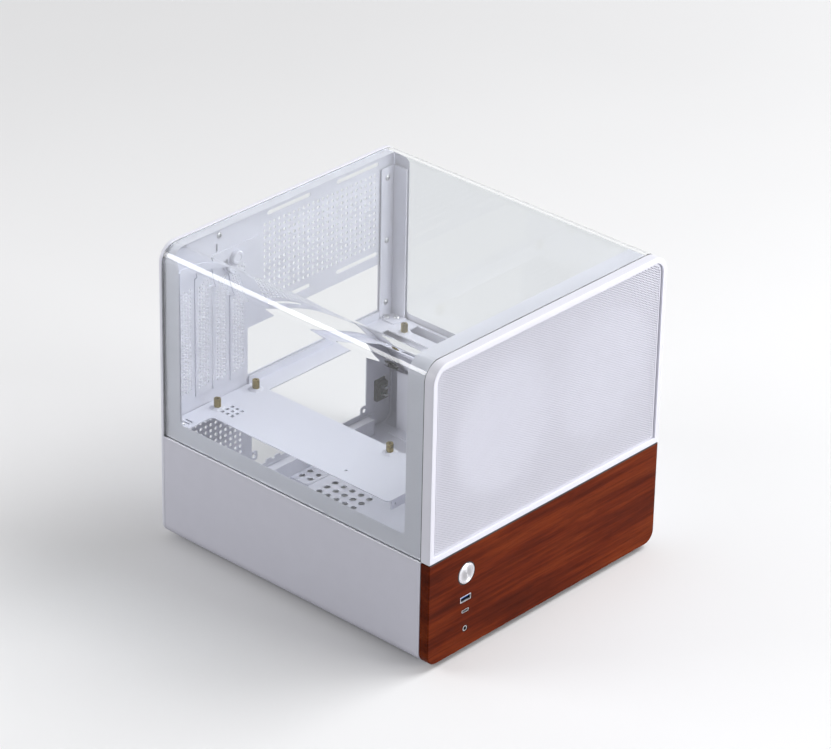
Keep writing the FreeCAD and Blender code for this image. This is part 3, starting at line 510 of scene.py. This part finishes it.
def copied(group, points, form, **turn):
    inputs = {"Points": points, "Instance": form, **turn}
    copies = addNode(group, "GeometryNodeInstanceOnPoints", inputs).outputs["Instances"]
    return addNode(group, "GeometryNodeRealizeInstances", {"Geometry": copies}).outputs["Geometry"]


def joined(group, *parts):
    node = addNode(group, "GeometryNodeJoinGeometry")
    for part in parts:
        group.links.new(part, node.inputs["Geometry"])
    return node.outputs["Geometry"]


def merged(group, geometry, distance):
    inputs = {"Geometry": geometry, "Distance": distance}
    return addNode(group, "GeometryNodeMergeByDistance", inputs).outputs["Geometry"]


def giveFinish(group, geometry, given, target):
    inputs = {"Geometry": geometry, "Material": given["Finish"]}
    group.links.new(addNode(group, "GeometryNodeSetMaterial", inputs).outputs["Geometry"], target)


gridInputs = [("Columns", "Int"), ("Rows", "Int"), ("Pitch X", "Float"), ("Pitch Y", "Float"),
              ("Stagger", "Float"), ("Middle", "Vector")]


def holeGridGroup():
    # Adds a grid of circles to the flat outline that comes in
    group, given, target = nodeGroup("holeGrid", gridInputs + [("Radius", "Float")])
    inputs = {"Resolution": 14, "Radius": given["Radius"]}
    circle = addNode(group, "GeometryNodeCurvePrimitiveCircle", inputs).outputs["Curve"]
    holes = copied(group, gridPoints(group, given), circle)
    group.links.new(joined(group, given["Geometry"], holes), target)
    return group


def sheetGroup():
    # Fills the outline between its holes, gives it a thickness, turns it and puts it in place
    group, given, target = nodeGroup("punchedSheet", [("Thickness", "Float"), ("Turn", "Rotation"),
                                                      ("Place", "Vector"), ("Finish", "Material")])
    flat = addNode(group, "GeometryNodeFillCurve", {"Curve": given["Geometry"]}).outputs["Mesh"]
    raised = addNode(group, "GeometryNodeExtrudeMesh", {"Mesh": flat, "Individual": False,
                                                        "Offset Scale": given["Thickness"]})
    flipped = addNode(group, "GeometryNodeFlipFaces", {"Mesh": flat})
    closed = merged(group, joined(group, raised.outputs["Mesh"], flipped.outputs["Mesh"]), 0.000005)
    placed = addNode(group, "GeometryNodeTransform", {"Geometry": closed, "Rotation": given["Turn"],
                                                      "Translation": given["Place"]})
    giveFinish(group, placed.outputs["Geometry"], given, target)
    return group


def cellGroup():
    # Fills a grid with copies of one cell and leaves out those past the rounded upper corners
    group, given, target = nodeGroup("meshCells", gridInputs + [
        ("Half Width", "Float"), ("Half Height", "Float"), ("Corner", "Float"),
        ("Finish", "Material")])
    position = addNode(group, "GeometryNodeInputPosition").outputs["Position"]
    fromMiddle = addNode(group, "ShaderNodeVectorMath", {0: position, 1: given["Middle"]},
                         operation="SUBTRACT").outputs["Vector"]
    parts = addNode(group, "ShaderNodeSeparateXYZ", {"Vector": fromMiddle}).outputs
    across, corner = mathNode(group, "ABSOLUTE", parts["X"]), given["Corner"]
    squares = []
    for place, half in ((across, "Half Width"), (parts["Y"], "Half Height")):
        start = mathNode(group, "SUBTRACT", given[half], corner)
        past = mathNode(group, "MAXIMUM", mathNode(group, "SUBTRACT", place, start), 0.0)
        squares.append(mathNode(group, "MULTIPLY", past, past))
    distance = mathNode(group, "SQRT", mathNode(group, "ADD", *squares))
    outside = mathNode(group, "GREATER_THAN", distance, corner)
    inputs = {"Geometry": gridPoints(group, given), "Selection": outside}
    points = addNode(group, "GeometryNodeDeleteGeometry", inputs, domain="POINT")
    cells = copied(group, points.outputs["Geometry"], given["Geometry"])
    giveFinish(group, merged(group, cells, 0.000004), given, target)
    return group


def screwGroup():
    # Puts a copy of the screw on each point, its axis along the point's aim
    inputs = [("Screw", "Object"), ("Finish", "Material")]
    group, given, target = nodeGroup("screwsOnPoints", inputs)
    screw = addNode(group, "GeometryNodeObjectInfo", {"Object": given["Screw"]}).outputs["Geometry"]
    aim = addNode(group, "GeometryNodeInputNamedAttribute", {"Name": "aim"},
                  data_type="FLOAT_VECTOR").outputs["Attribute"]
    turn = addNode(group, "FunctionNodeAlignRotationToVector", {"Vector": aim}, axis="Z")
    screws = copied(group, given["Geometry"], screw, Rotation=turn.outputs["Rotation"])
    giveFinish(group, screws, given, target)
    return group


holeGrid, punchedSheet = holeGridGroup(), sheetGroup()
meshCells, screwsOnPoints = cellGroup(), screwGroup()


def addModifier(piece, group, values):
    modifier = piece.modifiers.new(group.name, "NODES")
    modifier.node_group = group
    for item in group.interface.items_tree:
        if item.item_type == "SOCKET" and item.in_out == "INPUT" and item.name in values:
            modifier[item.identifier] = values[item.name]


def bakedMesh(piece):
    # The modifiers' result as a plain mesh; the object that carried them is removed
    bpy.context.view_layer.update()
    graph = bpy.context.evaluated_depsgraph_get()
    result = bpy.data.meshes.new_from_object(piece.evaluated_get(graph))
    bpy.data.objects.remove(piece)
    return result


def baked(piece, name, body, replaced, angle=35):
    result = bakedMesh(piece)
    result.name = name
    setPiece(name, result, body, replaced, angle)


def flatCurve(name, outlines):
    # Closed outlines in millimetres as one flat curve object
    curve = bpy.data.curves.new(name, "CURVE")
    curve.dimensions = "3D"
    for outline in outlines:
        spline = curve.splines.new("POLY")
        spline.points.add(len(outline) - 1)
        for point, (u, v) in zip(spline.points, outline):
            point.co = (u / 1000, v / 1000, 0, 1)
        spline.use_cyclic_u = True
    return addObject(name, curve)


def addHoles(piece, left, bottom, columns, rows, pitchX, pitchY, radius, stagger=0.0):
    x, y = left + (columns - 1) * pitchX / 2, bottom + (rows - 1) * pitchY / 2
    addModifier(piece, holeGrid, {"Columns": columns, "Rows": rows, "Pitch X": pitchX / 1000,
                                  "Pitch Y": pitchY / 1000, "Stagger": stagger / 1000,
                                  "Middle": (x / 1000, y / 1000, 0), "Radius": radius / 1000})


lying, upright = (0, 0, 0), (math.pi / 2, 0, 0)


def addSheet(piece, thickness, turn, place):
    addModifier(piece, punchedSheet, {"Thickness": thickness / 1000, "Turn": turn, "Place": place,
                                      "Finish": white})


# Fine mesh of the front: brick-set cells, plates with a diamond hole each, in a plain folded margin
cell = {"wide": 1.838, "tall": 2.135, "hole": 0.92, "columns": 146, "rows": 76, "middleX": 141.0,
        "middleZ": 183.1, "corner": 9.0, "front": 2.0, "thickness": 1.5, "gap": 0.35}
halfWide, halfTall = cell["columns"] * cell["wide"] / 2, (cell["rows"] + 0.5) * cell["tall"] / 2
build = bmesh.new()
w, h, r, t = cell["wide"] / 2000, cell["tall"] / 2000, cell["hole"] / 1000, cell["thickness"] / 1000
corners, hole, back = ([build.verts.new(point) for point in points] for points in (
    ((-w, -h, 0), (w, -h, 0), (w, h, 0), (-w, h, 0)),
    ((0, -r, 0), (r, 0, 0), (0, r, 0), (-r, 0, 0)),
    ((0, -r, -t), (r, 0, -t), (0, r, -t), (-r, 0, -t))))
for i in range(4):
    k = (i + 1) % 4
    build.faces.new((corners[i], corners[k], hole[i]))
    build.faces.new((corners[k], hole[k], hole[i]))
    build.faces.new((hole[i], hole[k], back[k], back[i]))
cellMesh = bpy.data.meshes.new("meshCell")
build.to_mesh(cellMesh)
build.free()
cells = addObject("meshCell", cellMesh)
addModifier(cells, meshCells, {
    "Columns": cell["columns"], "Rows": cell["rows"], "Pitch X": cell["wide"] / 1000,
    "Pitch Y": cell["tall"] / 1000, "Stagger": cell["tall"] / 2000,
    "Middle": (cell["middleX"] / 1000, cell["middleZ"] / 1000, 0), "Half Width": halfWide / 1000,
    "Half Height": halfTall / 1000, "Corner": cell["corner"] / 1000, "Finish": white})
fineMesh = bakedMesh(cells)
for vertex in fineMesh.vertices:
    vertex.co = atMm(vertex.co.x * 1000, cell["front"] - vertex.co.z * 1000, vertex.co.y * 1000)
setPiece("fine_mesh", fineMesh, "case", ["front_mesh"])


def meshSteps():
    # The stepped outline of the cells, column by column, along the top and back along the bottom
    above, below = [], []
    for column in range(cell["columns"]):
        x = (column - (cell["columns"] - 1) / 2) * cell["wide"]
        heights = []
        for row in range(cell["rows"]):
            z = (row - (cell["rows"] - 1) / 2) * cell["tall"] + (column % 2) * cell["tall"] / 2
            past = math.hypot(max(abs(x) - halfWide + cell["corner"], 0),
                              max(z - halfTall + cell["corner"], 0))
            if past <= cell["corner"]:
                heights.append(z)
        left, right = cell["middleX"] + x - cell["wide"] / 2, cell["middleX"] + x + cell["wide"] / 2
        top = cell["middleZ"] + max(heights) + cell["tall"] / 2
        bottom = cell["middleZ"] + min(heights) - cell["tall"] / 2
        above += [(left, top), (right, top)]
        below += [(left, bottom), (right, bottom)]
    return above + list(reversed(below))


marginCurve = flatCurve("meshMargin", [frontOutline(rim["wide"] + cell["gap"]), meshSteps()])
addSheet(marginCurve, rim["ledgeStart"] - cell["front"], upright, atMm(0, rim["ledgeStart"], 0))
baked(marginCurve, "mesh_margin", "case", [])
print("front mesh done", len(fineMesh.polygons))

# Turned button: a slightly dished face inside a bright bevel
button = {"sides": 72, "profile": ((6.7, -0.62), (6.95, -0.9), (7.7, -0.9), (9.05, -0.3),
                                   (9.2, -0.1), (9.2, 7.2), (2.5, 7.2), (2.5, 10.9))}
build = bmesh.new()
circles = [(circlePoints(buttonAxis, radius, button["sides"]), y)
           for radius, y in button["profile"]]
addTurned(build, [[build.verts.new(atMm(x, y, z)) for x, z in circle] for circle, y in circles])
finishMesh("turned_button", build, "turned_metal", "power_button", ["power_button"], 18)

# Ports: bright steel lips, a blue tongue in the upper one, a ring in the jack; black tubes inside
# the lips and black plates behind them are painted shade in the cavities, the plates partly a real
# dark back
ports = {"x": 44.5, "front": 0.3, "end": 12.9, "shadeSheet": 0.3, "shadeSheetStart": 1.2, "back": 9.0,
         "shadeSheetGap": 0.02, "tongueRound": 0.25,
         "usb": {"z": 46.8, "wide": 12.8, "tall": 5.4, "round": 0.6, "wall": 0.6,
                 "tongue": (10.6, 1.5, 0.75, 1.8)},
         "usbC": {"z": 35.2, "wide": 8.6, "tall": 2.9, "round": 1.4, "wall": 0.45,
                  "tongue": (6.4, 0.6, 0.0, 1.6)},
         "jack": {"z": 18.5, "radii": (2.3, 1.85), "front": 0.3, "end": 2.4}}


def portPieces(port, shellName, shellReplaces, tongueName, tongueReplaces, tongueSlot):
    def outline(inset):
        wide, tall = port["wide"] - 2 * inset, port["tall"] - 2 * inset
        return centeredBox(ports["x"], port["z"], wide, tall, max(port["round"] - inset, 0.15))

    build = bmesh.new()
    addTube(build, outline(0), outline(port["wall"]), ports["front"], ports["end"])
    finishMesh(shellName, build, "port_steel", "case", shellReplaces)
    # Painted shade: a black tube along each lip's inner wall and a black plate at its back
    build = bmesh.new()
    inset = port["wall"] + ports["shadeSheetGap"]
    addTube(build, outline(inset), outline(inset + ports["shadeSheet"]), ports["shadeSheetStart"],
            ports["back"])
    addPrism(build, outline(inset), ports["back"], ports["end"])
    finishMesh(shellName + "_lining", build, "black_plastic", "case", [])
    wide, tall, lift, start = port["tongue"]
    build = bmesh.new()
    addPrism(build, centeredBox(ports["x"], port["z"] + lift, wide, tall, ports["tongueRound"]),
             start, ports["back"])
    finishMesh(tongueName, build, tongueSlot, "case", tongueReplaces)


portPieces(ports["usb"], "usb_a_lip", ["usb_a_shell"], "usb_a_blue_tongue", ["usb_a_tongue"],
           "blue_plastic")
portPieces(ports["usbC"], "usb_c_lip", ["usb_c_port"], "usb_c_tongue", [], "black_plastic")
jack = ports["jack"]
build = bmesh.new()
addTube(build, *(circlePoints((ports["x"], jack["z"]), radius) for radius in jack["radii"]),
        jack["front"], jack["end"])
finishMesh("jack_ring", build, "port_steel", "case", [])
print("button and ports done")

# Rear panel: rim and neck swept, wall punched. The power supply's opening has an ear round each
# screw and a notch in its lower edge, whose half is given as side, rise and corner. A grille is
# given by its first hole's place, its columns, rows and their pitches, and the holes' radius.
rear = {"portOpening": (100.7, 259.45, 115.36, 159.81), "socket": (258.1, 273.1, 27.5, 48.5),
        "psu": (105.5, 248.1, 20.7, 99.3), "ear": 4.6, "psuHole": 2.0,
        "psuScrews": ((107.8, 33.0), (107.8, 97.0), (245.8, 97.0), (245.8, 23.0)),
        "notch": 131.8, "notchHalf": ((8.5, 0, 0.8), (8.5, 2.8, 0.6), (2, 2.8, 0.5), (2, 0.4, 0.6)),
        "slotsRight": 98.9, "slotPitch": 20.32, "slotWide": 13.0, "slotMiddle": 174.5,
        "slotTall": 103.0, "slitWide": 2.2, "longHoleX": (148.4, 232.0),
        "longHoleZ": (170.81, 256.6), "longHole": (52, 4, 1.95, 6), "screwHole": 1.75,
        "thumbscrew": (81.5, 232.0), "clampScrew": (64.0, 257.6),
        "upperGrille": (119.6, 180.6, 24, 12, 5.82, 6.04, 1.62),
        "lowerGrille": (21.6, 26.7, 13, 12, 5.84, 5.75, 1.62)}
slotMiddles = [rear["slotsRight"] - (3.5 - index) * rear["slotPitch"] for index in range(4)]
slitMiddle = rear["slotsRight"] - 2 * rear["slotPitch"]
edge, rimStart = solid["inset"], depth - solid["rimDepth"]


def wholeOutline(inset):
    return bodyOutline(inset, 0, solid["bottomRadius"], 1, 12)


build = bmesh.new()
profile = softened([(0, rimStart, 0.2), (0, depth, 0.7), (edge + sheet, depth, 0.4),
                    (edge + sheet, wall + sheet), (edge, wall + sheet), (edge, depth - sheet, 0.1),
                    (sheet, depth - sheet, 0.1), (sheet, rimStart, 0.1)])
addSweep(build, profile, wholeOutline, True)
finishMesh("rear_rim", build, "white_steel", "case", ["rear_panel"])


def psuOutline():
    left, right, low, high = rear["psu"]
    ear, middle, half = rear["ear"], rear["notch"], rear["notchHalf"]
    x0, x1 = rear["psuScrews"][0][0] + ear, rear["psuScrews"][2][0] - ear
    z0, z1, z2 = (rear["psuScrews"][i][1] for i in (0, 1, 3))
    points = [(middle + side, low + rise, corner) for side, rise, corner in half]
    points += [(middle - side, low + rise, corner) for side, rise, corner in reversed(half)]
    points += [(left, low, 1.5), (left, z0 - ear, 0.8), (x0, z0 - ear, 3.0), (x0, z0 + ear, 3.0),
               (left, z0 + ear, 0.8), (left, z1 - ear, 0.8), (x0, z1 - ear, 3.0), (x0, high, 0.8),
               (x1, high, 0.8), (x1, z1 - ear, 3.0), (right, z1 - ear, 0.8), (right, z2 + ear, 0.8),
               (x1, z2 + ear, 3.0), (x1, low, 0.8)]
    return softened(points, steps=4)


outlines = [wholeOutline(edge), roundedBox(*rear["portOpening"], 0.6), psuOutline(),
            roundedBox(*rear["socket"], 0.8)]
places = [(x, rear["slotWide"], 0.8) for x in slotMiddles] + [(slitMiddle, rear["slitWide"], 0.6)]
for x, wide, radius in places:
    outlines.append(centeredBox(x, rear["slotMiddle"], wide, rear["slotTall"], radius))
outlines += [centeredBox(x, z, *rear["longHole"])
             for z in rear["longHoleZ"] for x in rear["longHoleX"]]
outlines += [circlePoints(spot, rear["psuHole"]) for spot in rear["psuScrews"]]
outlines += [circlePoints(rear[key], rear["screwHole"]) for key in ("thumbscrew", "clampScrew")]
wallCurve = flatCurve("rearWallOutline", outlines)
addHoles(wallCurve, *rear["upperGrille"])
addHoles(wallCurve, *rear["lowerGrille"])
addSheet(wallCurve, sheet, upright, atMm(0, wall + sheet, 0))
baked(wallCurve, "rear_wall", "case", [])

# Power socket: a shallow cup with bevelled upper corners, a flange outside and two blades
socket = {"left": 258.5, "right": 272.7, "low": 27.9, "high": 48.1, "bevel": 4.0, "round": 0.8,
          "front": 297.5, "plate": 1.0, "wall": 1.4, "flange": (1.6, 301.6, 303.1),
          "blade": (3.2, 1.6, 0.2), "bladePitch": 7.0, "bladeStart": 291.5, "bladeEnd": 302.0}


def socketOutline(inset):
    left, right = socket["left"] + inset, socket["right"] - inset
    low, high, bevel = socket["low"] + inset, socket["high"] - inset, socket["bevel"]
    return softened([(left, low), (right, low), (right, high - bevel), (right - bevel, high),
                     (left + bevel, high), (left, high - bevel)], socket["round"])


build = bmesh.new()
flange, flangeStart, flangeEnd = socket["flange"]
addTube(build, socketOutline(0), socketOutline(socket["wall"]), socket["front"], flangeEnd)
addTube(build, socketOutline(-flange), socketOutline(0), flangeStart, flangeEnd)
addPrism(build, socketOutline(socket["wall"]), socket["front"], socket["front"] + socket["plate"])
finishMesh("socket_cup", build, "black_plastic", "case", ["power_socket"])
build = bmesh.new()
x, z = (socket["left"] + socket["right"]) / 2, (socket["low"] + socket["high"]) / 2
for side in (-0.5, 0.5):
    outline = centeredBox(x, z + side * socket["bladePitch"], *socket["blade"])
    addPrism(build, outline, socket["bladeStart"], socket["bladeEnd"])
finishMesh("socket_blades", build, "port_steel", "case", ["power_socket_pins"])

# Slot covers with four staggered columns of fine holes; the last carries the thumbscrew
slotCover = {"wide": 18.9, "middle": 179.0, "tall": 122.0, "round": 1.2, "columns": 4, "rows": 27,
             "pitchX": 3.3, "pitchY": 3.58, "radius": 1.05, "bottom": 125.7}
for index, middle in enumerate(slotMiddles):
    outlines = [centeredBox(middle, slotCover["middle"], slotCover["wide"], slotCover["tall"],
                            slotCover["round"])]
    if index == 3:
        outlines.append(circlePoints(rear["thumbscrew"], rear["screwHole"]))
    coverCurve = flatCurve("coverOutline", outlines)
    left = middle - (slotCover["columns"] - 1) / 2 * slotCover["pitchX"]
    addHoles(coverCurve, left, slotCover["bottom"], slotCover["columns"], slotCover["rows"],
             slotCover["pitchX"], slotCover["pitchY"], slotCover["radius"], slotCover["pitchY"] / 2)
    addSheet(coverCurve, sheet, upright, atMm(0, wall, 0))
    baked(coverCurve, "slot_cover_plate_%d" % (index + 1), "case",
          ["slot_cover_%d" % (index + 1)])
print("rear wall done")

# Floor of the chassis with round air holes, a raised pad with four more, and its folded rear edge
bottom = {"box": (11.4, 270.6, 12.0, wall), "low": 1.0,
          "vent": (122.5, 215.4, 6, 5, 10.1, 10.1, 2.95),
          "pad": (142.0, 170.0, 268.9, 289.9), "padLow": 2.0,
          "padHoles": (151.0, 274.4, 2, 2, 10.0, 10.0, 2.75), "edge": (23.8, 258.2, 2.0, 17.0)}
padOutline = roundedBox(*bottom["pad"], 2.0)
floorCurve = flatCurve("chassisFloorOutline", [roundedBox(*bottom["box"], 0.5), padOutline])
addHoles(floorCurve, *bottom["vent"])
addSheet(floorCurve, sheet, lying, atMm(0, 0, bottom["low"]))
baked(floorCurve, "chassis_floor", "case", ["floor_plate"])
padCurve = flatCurve("floorPadOutline", [padOutline])
addHoles(padCurve, *bottom["padHoles"])
addSheet(padCurve, sheet, lying, atMm(0, 0, bottom["padLow"]))
baked(padCurve, "chassis_floor_pad", "case", [])
left, right, low, high = bottom["edge"]
build = bmesh.new()
addPrism(build, [(left, low), (right, low), (right, high), (left, high)], wall - sheet, wall)
finishMesh("chassis_floor_edge", build, "white_steel", "case", [])
print("chassis floor done")

# Screws: a pan head with a cross recess, copied onto the solids' places
screw = {"profile": ((1.65, -1.0), (1.65, 0), (2.9, 0), (3.0, 0.15), (3.0, 0.9), (2.7, 1.5),
                     (2.04, 1.9)),
         "top": 2.0, "recess": 1.7, "recessHalf": 0.45, "deep": 1.1, "taper": 0.75}
build = bmesh.new()
rows = [[build.verts.new((x / 1000, y / 1000, z / 1000)) for x, y in circlePoints((0, 0), radius)]
        for radius, z in screw["profile"]]
stitch(build, rows)
build.faces.new(list(reversed(rows[0])))
a, b = screw["recessHalf"], screw["recess"]
cross = [(b, a), (a, a), (a, b), (-a, b), (-a, a), (-b, a), (-b, -a), (-a, -a), (-a, -b), (a, -b),
         (a, -a), (b, -a)]
upper, lower = ([build.verts.new((x * size / 1000, y * size / 1000, z / 1000)) for x, y in cross]
                for size, z in ((1, screw["top"]), (screw["taper"], screw["top"] - screw["deep"])))
head = rows[-1]
for i in range(12):
    k = (i + 1) % 12
    build.faces.new((upper[k], upper[i], lower[i], lower[k]))
    # The rim between the round edge and the cross, two steps of the circle to one of the cross
    first, second, third = (head[(2 * i + step) % len(head)] for step in (1, 2, 3))
    build.faces.new((first, second, upper[i]))
    build.faces.new((second, third, upper[k], upper[i]))
build.faces.new(lower)
bmesh.ops.recalc_face_normals(build, faces=build.faces)
screwMesh = bpy.data.meshes.new("crossScrew")
build.to_mesh(screwMesh)
build.free()
crossScrew = addObject("crossScrew", screwMesh)

# Each rear post has two screws in its foot and three up its height; one more is in the clamping
# plate. On the right the foot's two are a step apart across, half of it to either side.
posts = {"places": ((10.5, 0), (267.5, -5.5)), "footY": ((0.5, 295.0), (-0.5, 288.0)),
         "footTop": 108.0, "heights": (121.0, 181.0, 241.0)}
up, forward = (0, 0, 1), (0, -1, 0)
spots = []
for middle, step in posts["places"]:
    spots += [(atMm(middle + share * step, y, posts["footTop"]), up) for share, y in posts["footY"]]
    spots += [(atMm(middle, wall - sheet, z), forward) for z in posts["heights"]]
spots.append((atMm(rear["clampScrew"][0], wall - sheet, rear["clampScrew"][1]), forward))
spotMesh = bpy.data.meshes.new("screwSpots")
spotMesh.from_pydata([place for place, aim in spots], [], [])
attribute = spotMesh.attributes.new("aim", "FLOAT_VECTOR", "POINT")
for entry, (place, aim) in zip(attribute.data, spots):
    entry.vector = aim
spotObject = addObject("screwSpots", spotMesh)
addModifier(spotObject, screwsOnPoints, {"Screw": crossScrew, "Finish": materials["screw_steel"]})
baked(spotObject, "cross_screws", "case", ["chassis_screws"], 40)
bpy.data.objects.remove(crossScrew)
print("screws done")

# Knurled thumbscrew: each ring as distance from the seat, radius, and whether it is fluted
knob = {"seat": wall - 2, "sides": 80, "flute": 0.3,
        "profile": ((0, 5.4, 0), (-0.5, 6.0, 1), (-4.3, 6.0, 1), (-5.0, 5.3, 0), (-5.0, 3.6, 0),
                    (-4.6, 3.2, 0))}
build = bmesh.new()
rows = []
for along, radius, fluted in knob["profile"]:
    inner, outer = (circlePoints(rear["thumbscrew"], size, knob["sides"])
                    for size in (radius, radius + knob["flute"] * fluted))
    rows.append([build.verts.new(atMm(pair[i % 2][0], knob["seat"] + along, pair[i % 2][1]))
                 for i, pair in enumerate(zip(inner, outer))])
addTurned(build, rows)
finishMesh("knurled_thumbscrew", build, "white_steel", "case", ["slot_thumbscrew"], 40)

# Rubber feet
feet = {"inset": 34.0, "sides": 40,
        "profile": ((1.0, 12.0), (-4.2, 10.2), (-5.0, 9.2), (-5.0, 4.0), (-4.4, 3.4))}
build = bmesh.new()
for middle in [(x, y) for x in (feet["inset"], solid["width"] - feet["inset"])
               for y in (feet["inset"], depth - feet["inset"])]:
    circles = [(circlePoints(middle, radius, feet["sides"]), z) for z, radius in feet["profile"]]
    addTurned(build, [[build.verts.new(atMm(x, y, z)) for x, y in circle] for circle, z in circles])
finishMesh("round_feet", build, "foot_rubber", "case", ["rubber_feet"], 40)
print("feet done")

# Floor, light and camera
studio = {"floor": (0.84, 0.84, 0.85), "floorBounce": (0.5, 0.5, 0.52), "sky": 0.31,
          "fadeStart": 0.9, "fadeEnd": 4.0, "reach": 9.0}


def seenDirectly(tree):
    # 1 for what the camera sees, also in reflections and through glass, 0 for light on the object,
    # which is told by a diffuse bounce before it
    path = addNode(tree, "ShaderNodeLightPath").outputs
    seen = mathNode(tree, "MAXIMUM", path["Is Camera Ray"], path["Is Glossy Ray"])
    seen = mathNode(tree, "MAXIMUM", seen, path["Is Transmission Ray"])
    return mathNode(tree, "MULTIPLY", seen, mathNode(tree, "LESS_THAN", path["Diffuse Depth"], 0.5))


paper, tree, shader = newMaterial("paleFloor", studio["floor"], 0.7)
pale = ramp(tree, noise(tree, objectCoords(tree), 3, 2),
            ((0.3, dimmed(studio["floor"], 0.985)), (0.7, studio["floor"])))
inputs = {"A": (*studio["floorBounce"], 1), "B": pale, "Factor": seenDirectly(tree)}
floorMix = addNode(tree, "ShaderNodeMix", inputs, data_type="RGBA")
tree.links.new(floorMix.outputs["Result"], shader.inputs["Base Color"])
# Far away it brightens, where it is seen, and so meets the white backdrop without a line
inputs = {"From Min": studio["fadeStart"], "From Max": studio["fadeEnd"],
          "Value": lengthOf(tree, objectCoords(tree))}
fade = addNode(tree, "ShaderNodeMapRange", inputs, interpolation_type="SMOOTHSTEP")
shader.inputs["Emission Color"].default_value = (1, 1, 1, 1)
glow = mathNode(tree, "MULTIPLY", fade.outputs["Result"], seenDirectly(tree))
tree.links.new(glow, shader.inputs["Emission Strength"])
paper.cycles.emission_sampling = "NONE"
floorMesh = bpy.data.meshes.new("studio_floor")
reach = studio["reach"]
floorCorners = [(-reach, -reach, 0), (reach, -reach, 0), (reach, reach, 0), (-reach, reach, 0)]
floorMesh.from_pydata(floorCorners, [], [(0, 1, 2, 3)])
floorMesh.materials.append(paper)
studioFloor = addObject("studio_floor", floorMesh)

world = bpy.data.worlds.new("studio")
bpy.context.scene.world = world
world.use_nodes = True
tree = world.node_tree
background = tree.nodes["Background"]
inputs = {"Value": seenDirectly(tree), "To Min": studio["sky"], "To Max": 1.0}
strength = addNode(tree, "ShaderNodeMapRange", inputs)
tree.links.new(strength.outputs["Result"], background.inputs["Strength"])
background.inputs["Color"].default_value = (1, 1, 1, 1)


def areaLight(name, place, target, size, power):
    data = bpy.data.lights.new(name, "AREA")
    data.shape, data.size, data.size_y, data.energy = "RECTANGLE", size[0], size[1], power
    lamp = addObject(name, data)
    lamp.location = place
    lamp.rotation_euler = (Vector(target) - Vector(place)).to_track_quat("-Z", "Y").to_euler()


areaLight("keyLight", (1.5, -0.9, 2.3), (0, 0, 0.14), (1.6, 1.6), 55)
areaLight("frontLight", (0.9, -2.4, 0.8), (0, 0, 0.15), (1.2, 0.8), 40)
areaLight("bendLight", (-1.05, 1.0, 0.75), (0, 0, 0.22), (0.9, 0.5), 9.5)

eye = {"place": (-2.1481, -1.95365, 1.7329), "azimuth": -47.78, "elevation": 28.43, "roll": 1.18,
       "lens": 173.03, "sensor": 36.0}
azimuth, elevation, roll = (math.radians(eye[key]) for key in ("azimuth", "elevation", "roll"))
backward = Vector((math.sin(azimuth) * math.cos(elevation),
                   -math.cos(azimuth) * math.cos(elevation), math.sin(elevation)))
level = (-backward).cross(Vector((0, 0, 1))).normalized()
upward = level.cross(-backward)
acrossAxis = level * math.cos(roll) + upward * math.sin(roll)
upAxis = upward * math.cos(roll) - level * math.sin(roll)
cameraData = bpy.data.cameras.new("camera")
cameraData.lens, cameraData.sensor_width = eye["lens"], eye["sensor"]
camera = addObject("camera", cameraData)
turnMatrix = camera.matrix_world.copy()
for column, axis in enumerate((acrossAxis, upAxis, backward)):
    for row in range(3):
        turnMatrix[row][column] = axis[row]
turnMatrix.translation = Vector(eye["place"])
camera.matrix_world = turnMatrix
bpy.context.scene.camera = camera
bpy.context.scene.view_settings.view_transform = "Standard"

bpy.context.view_layer.update()
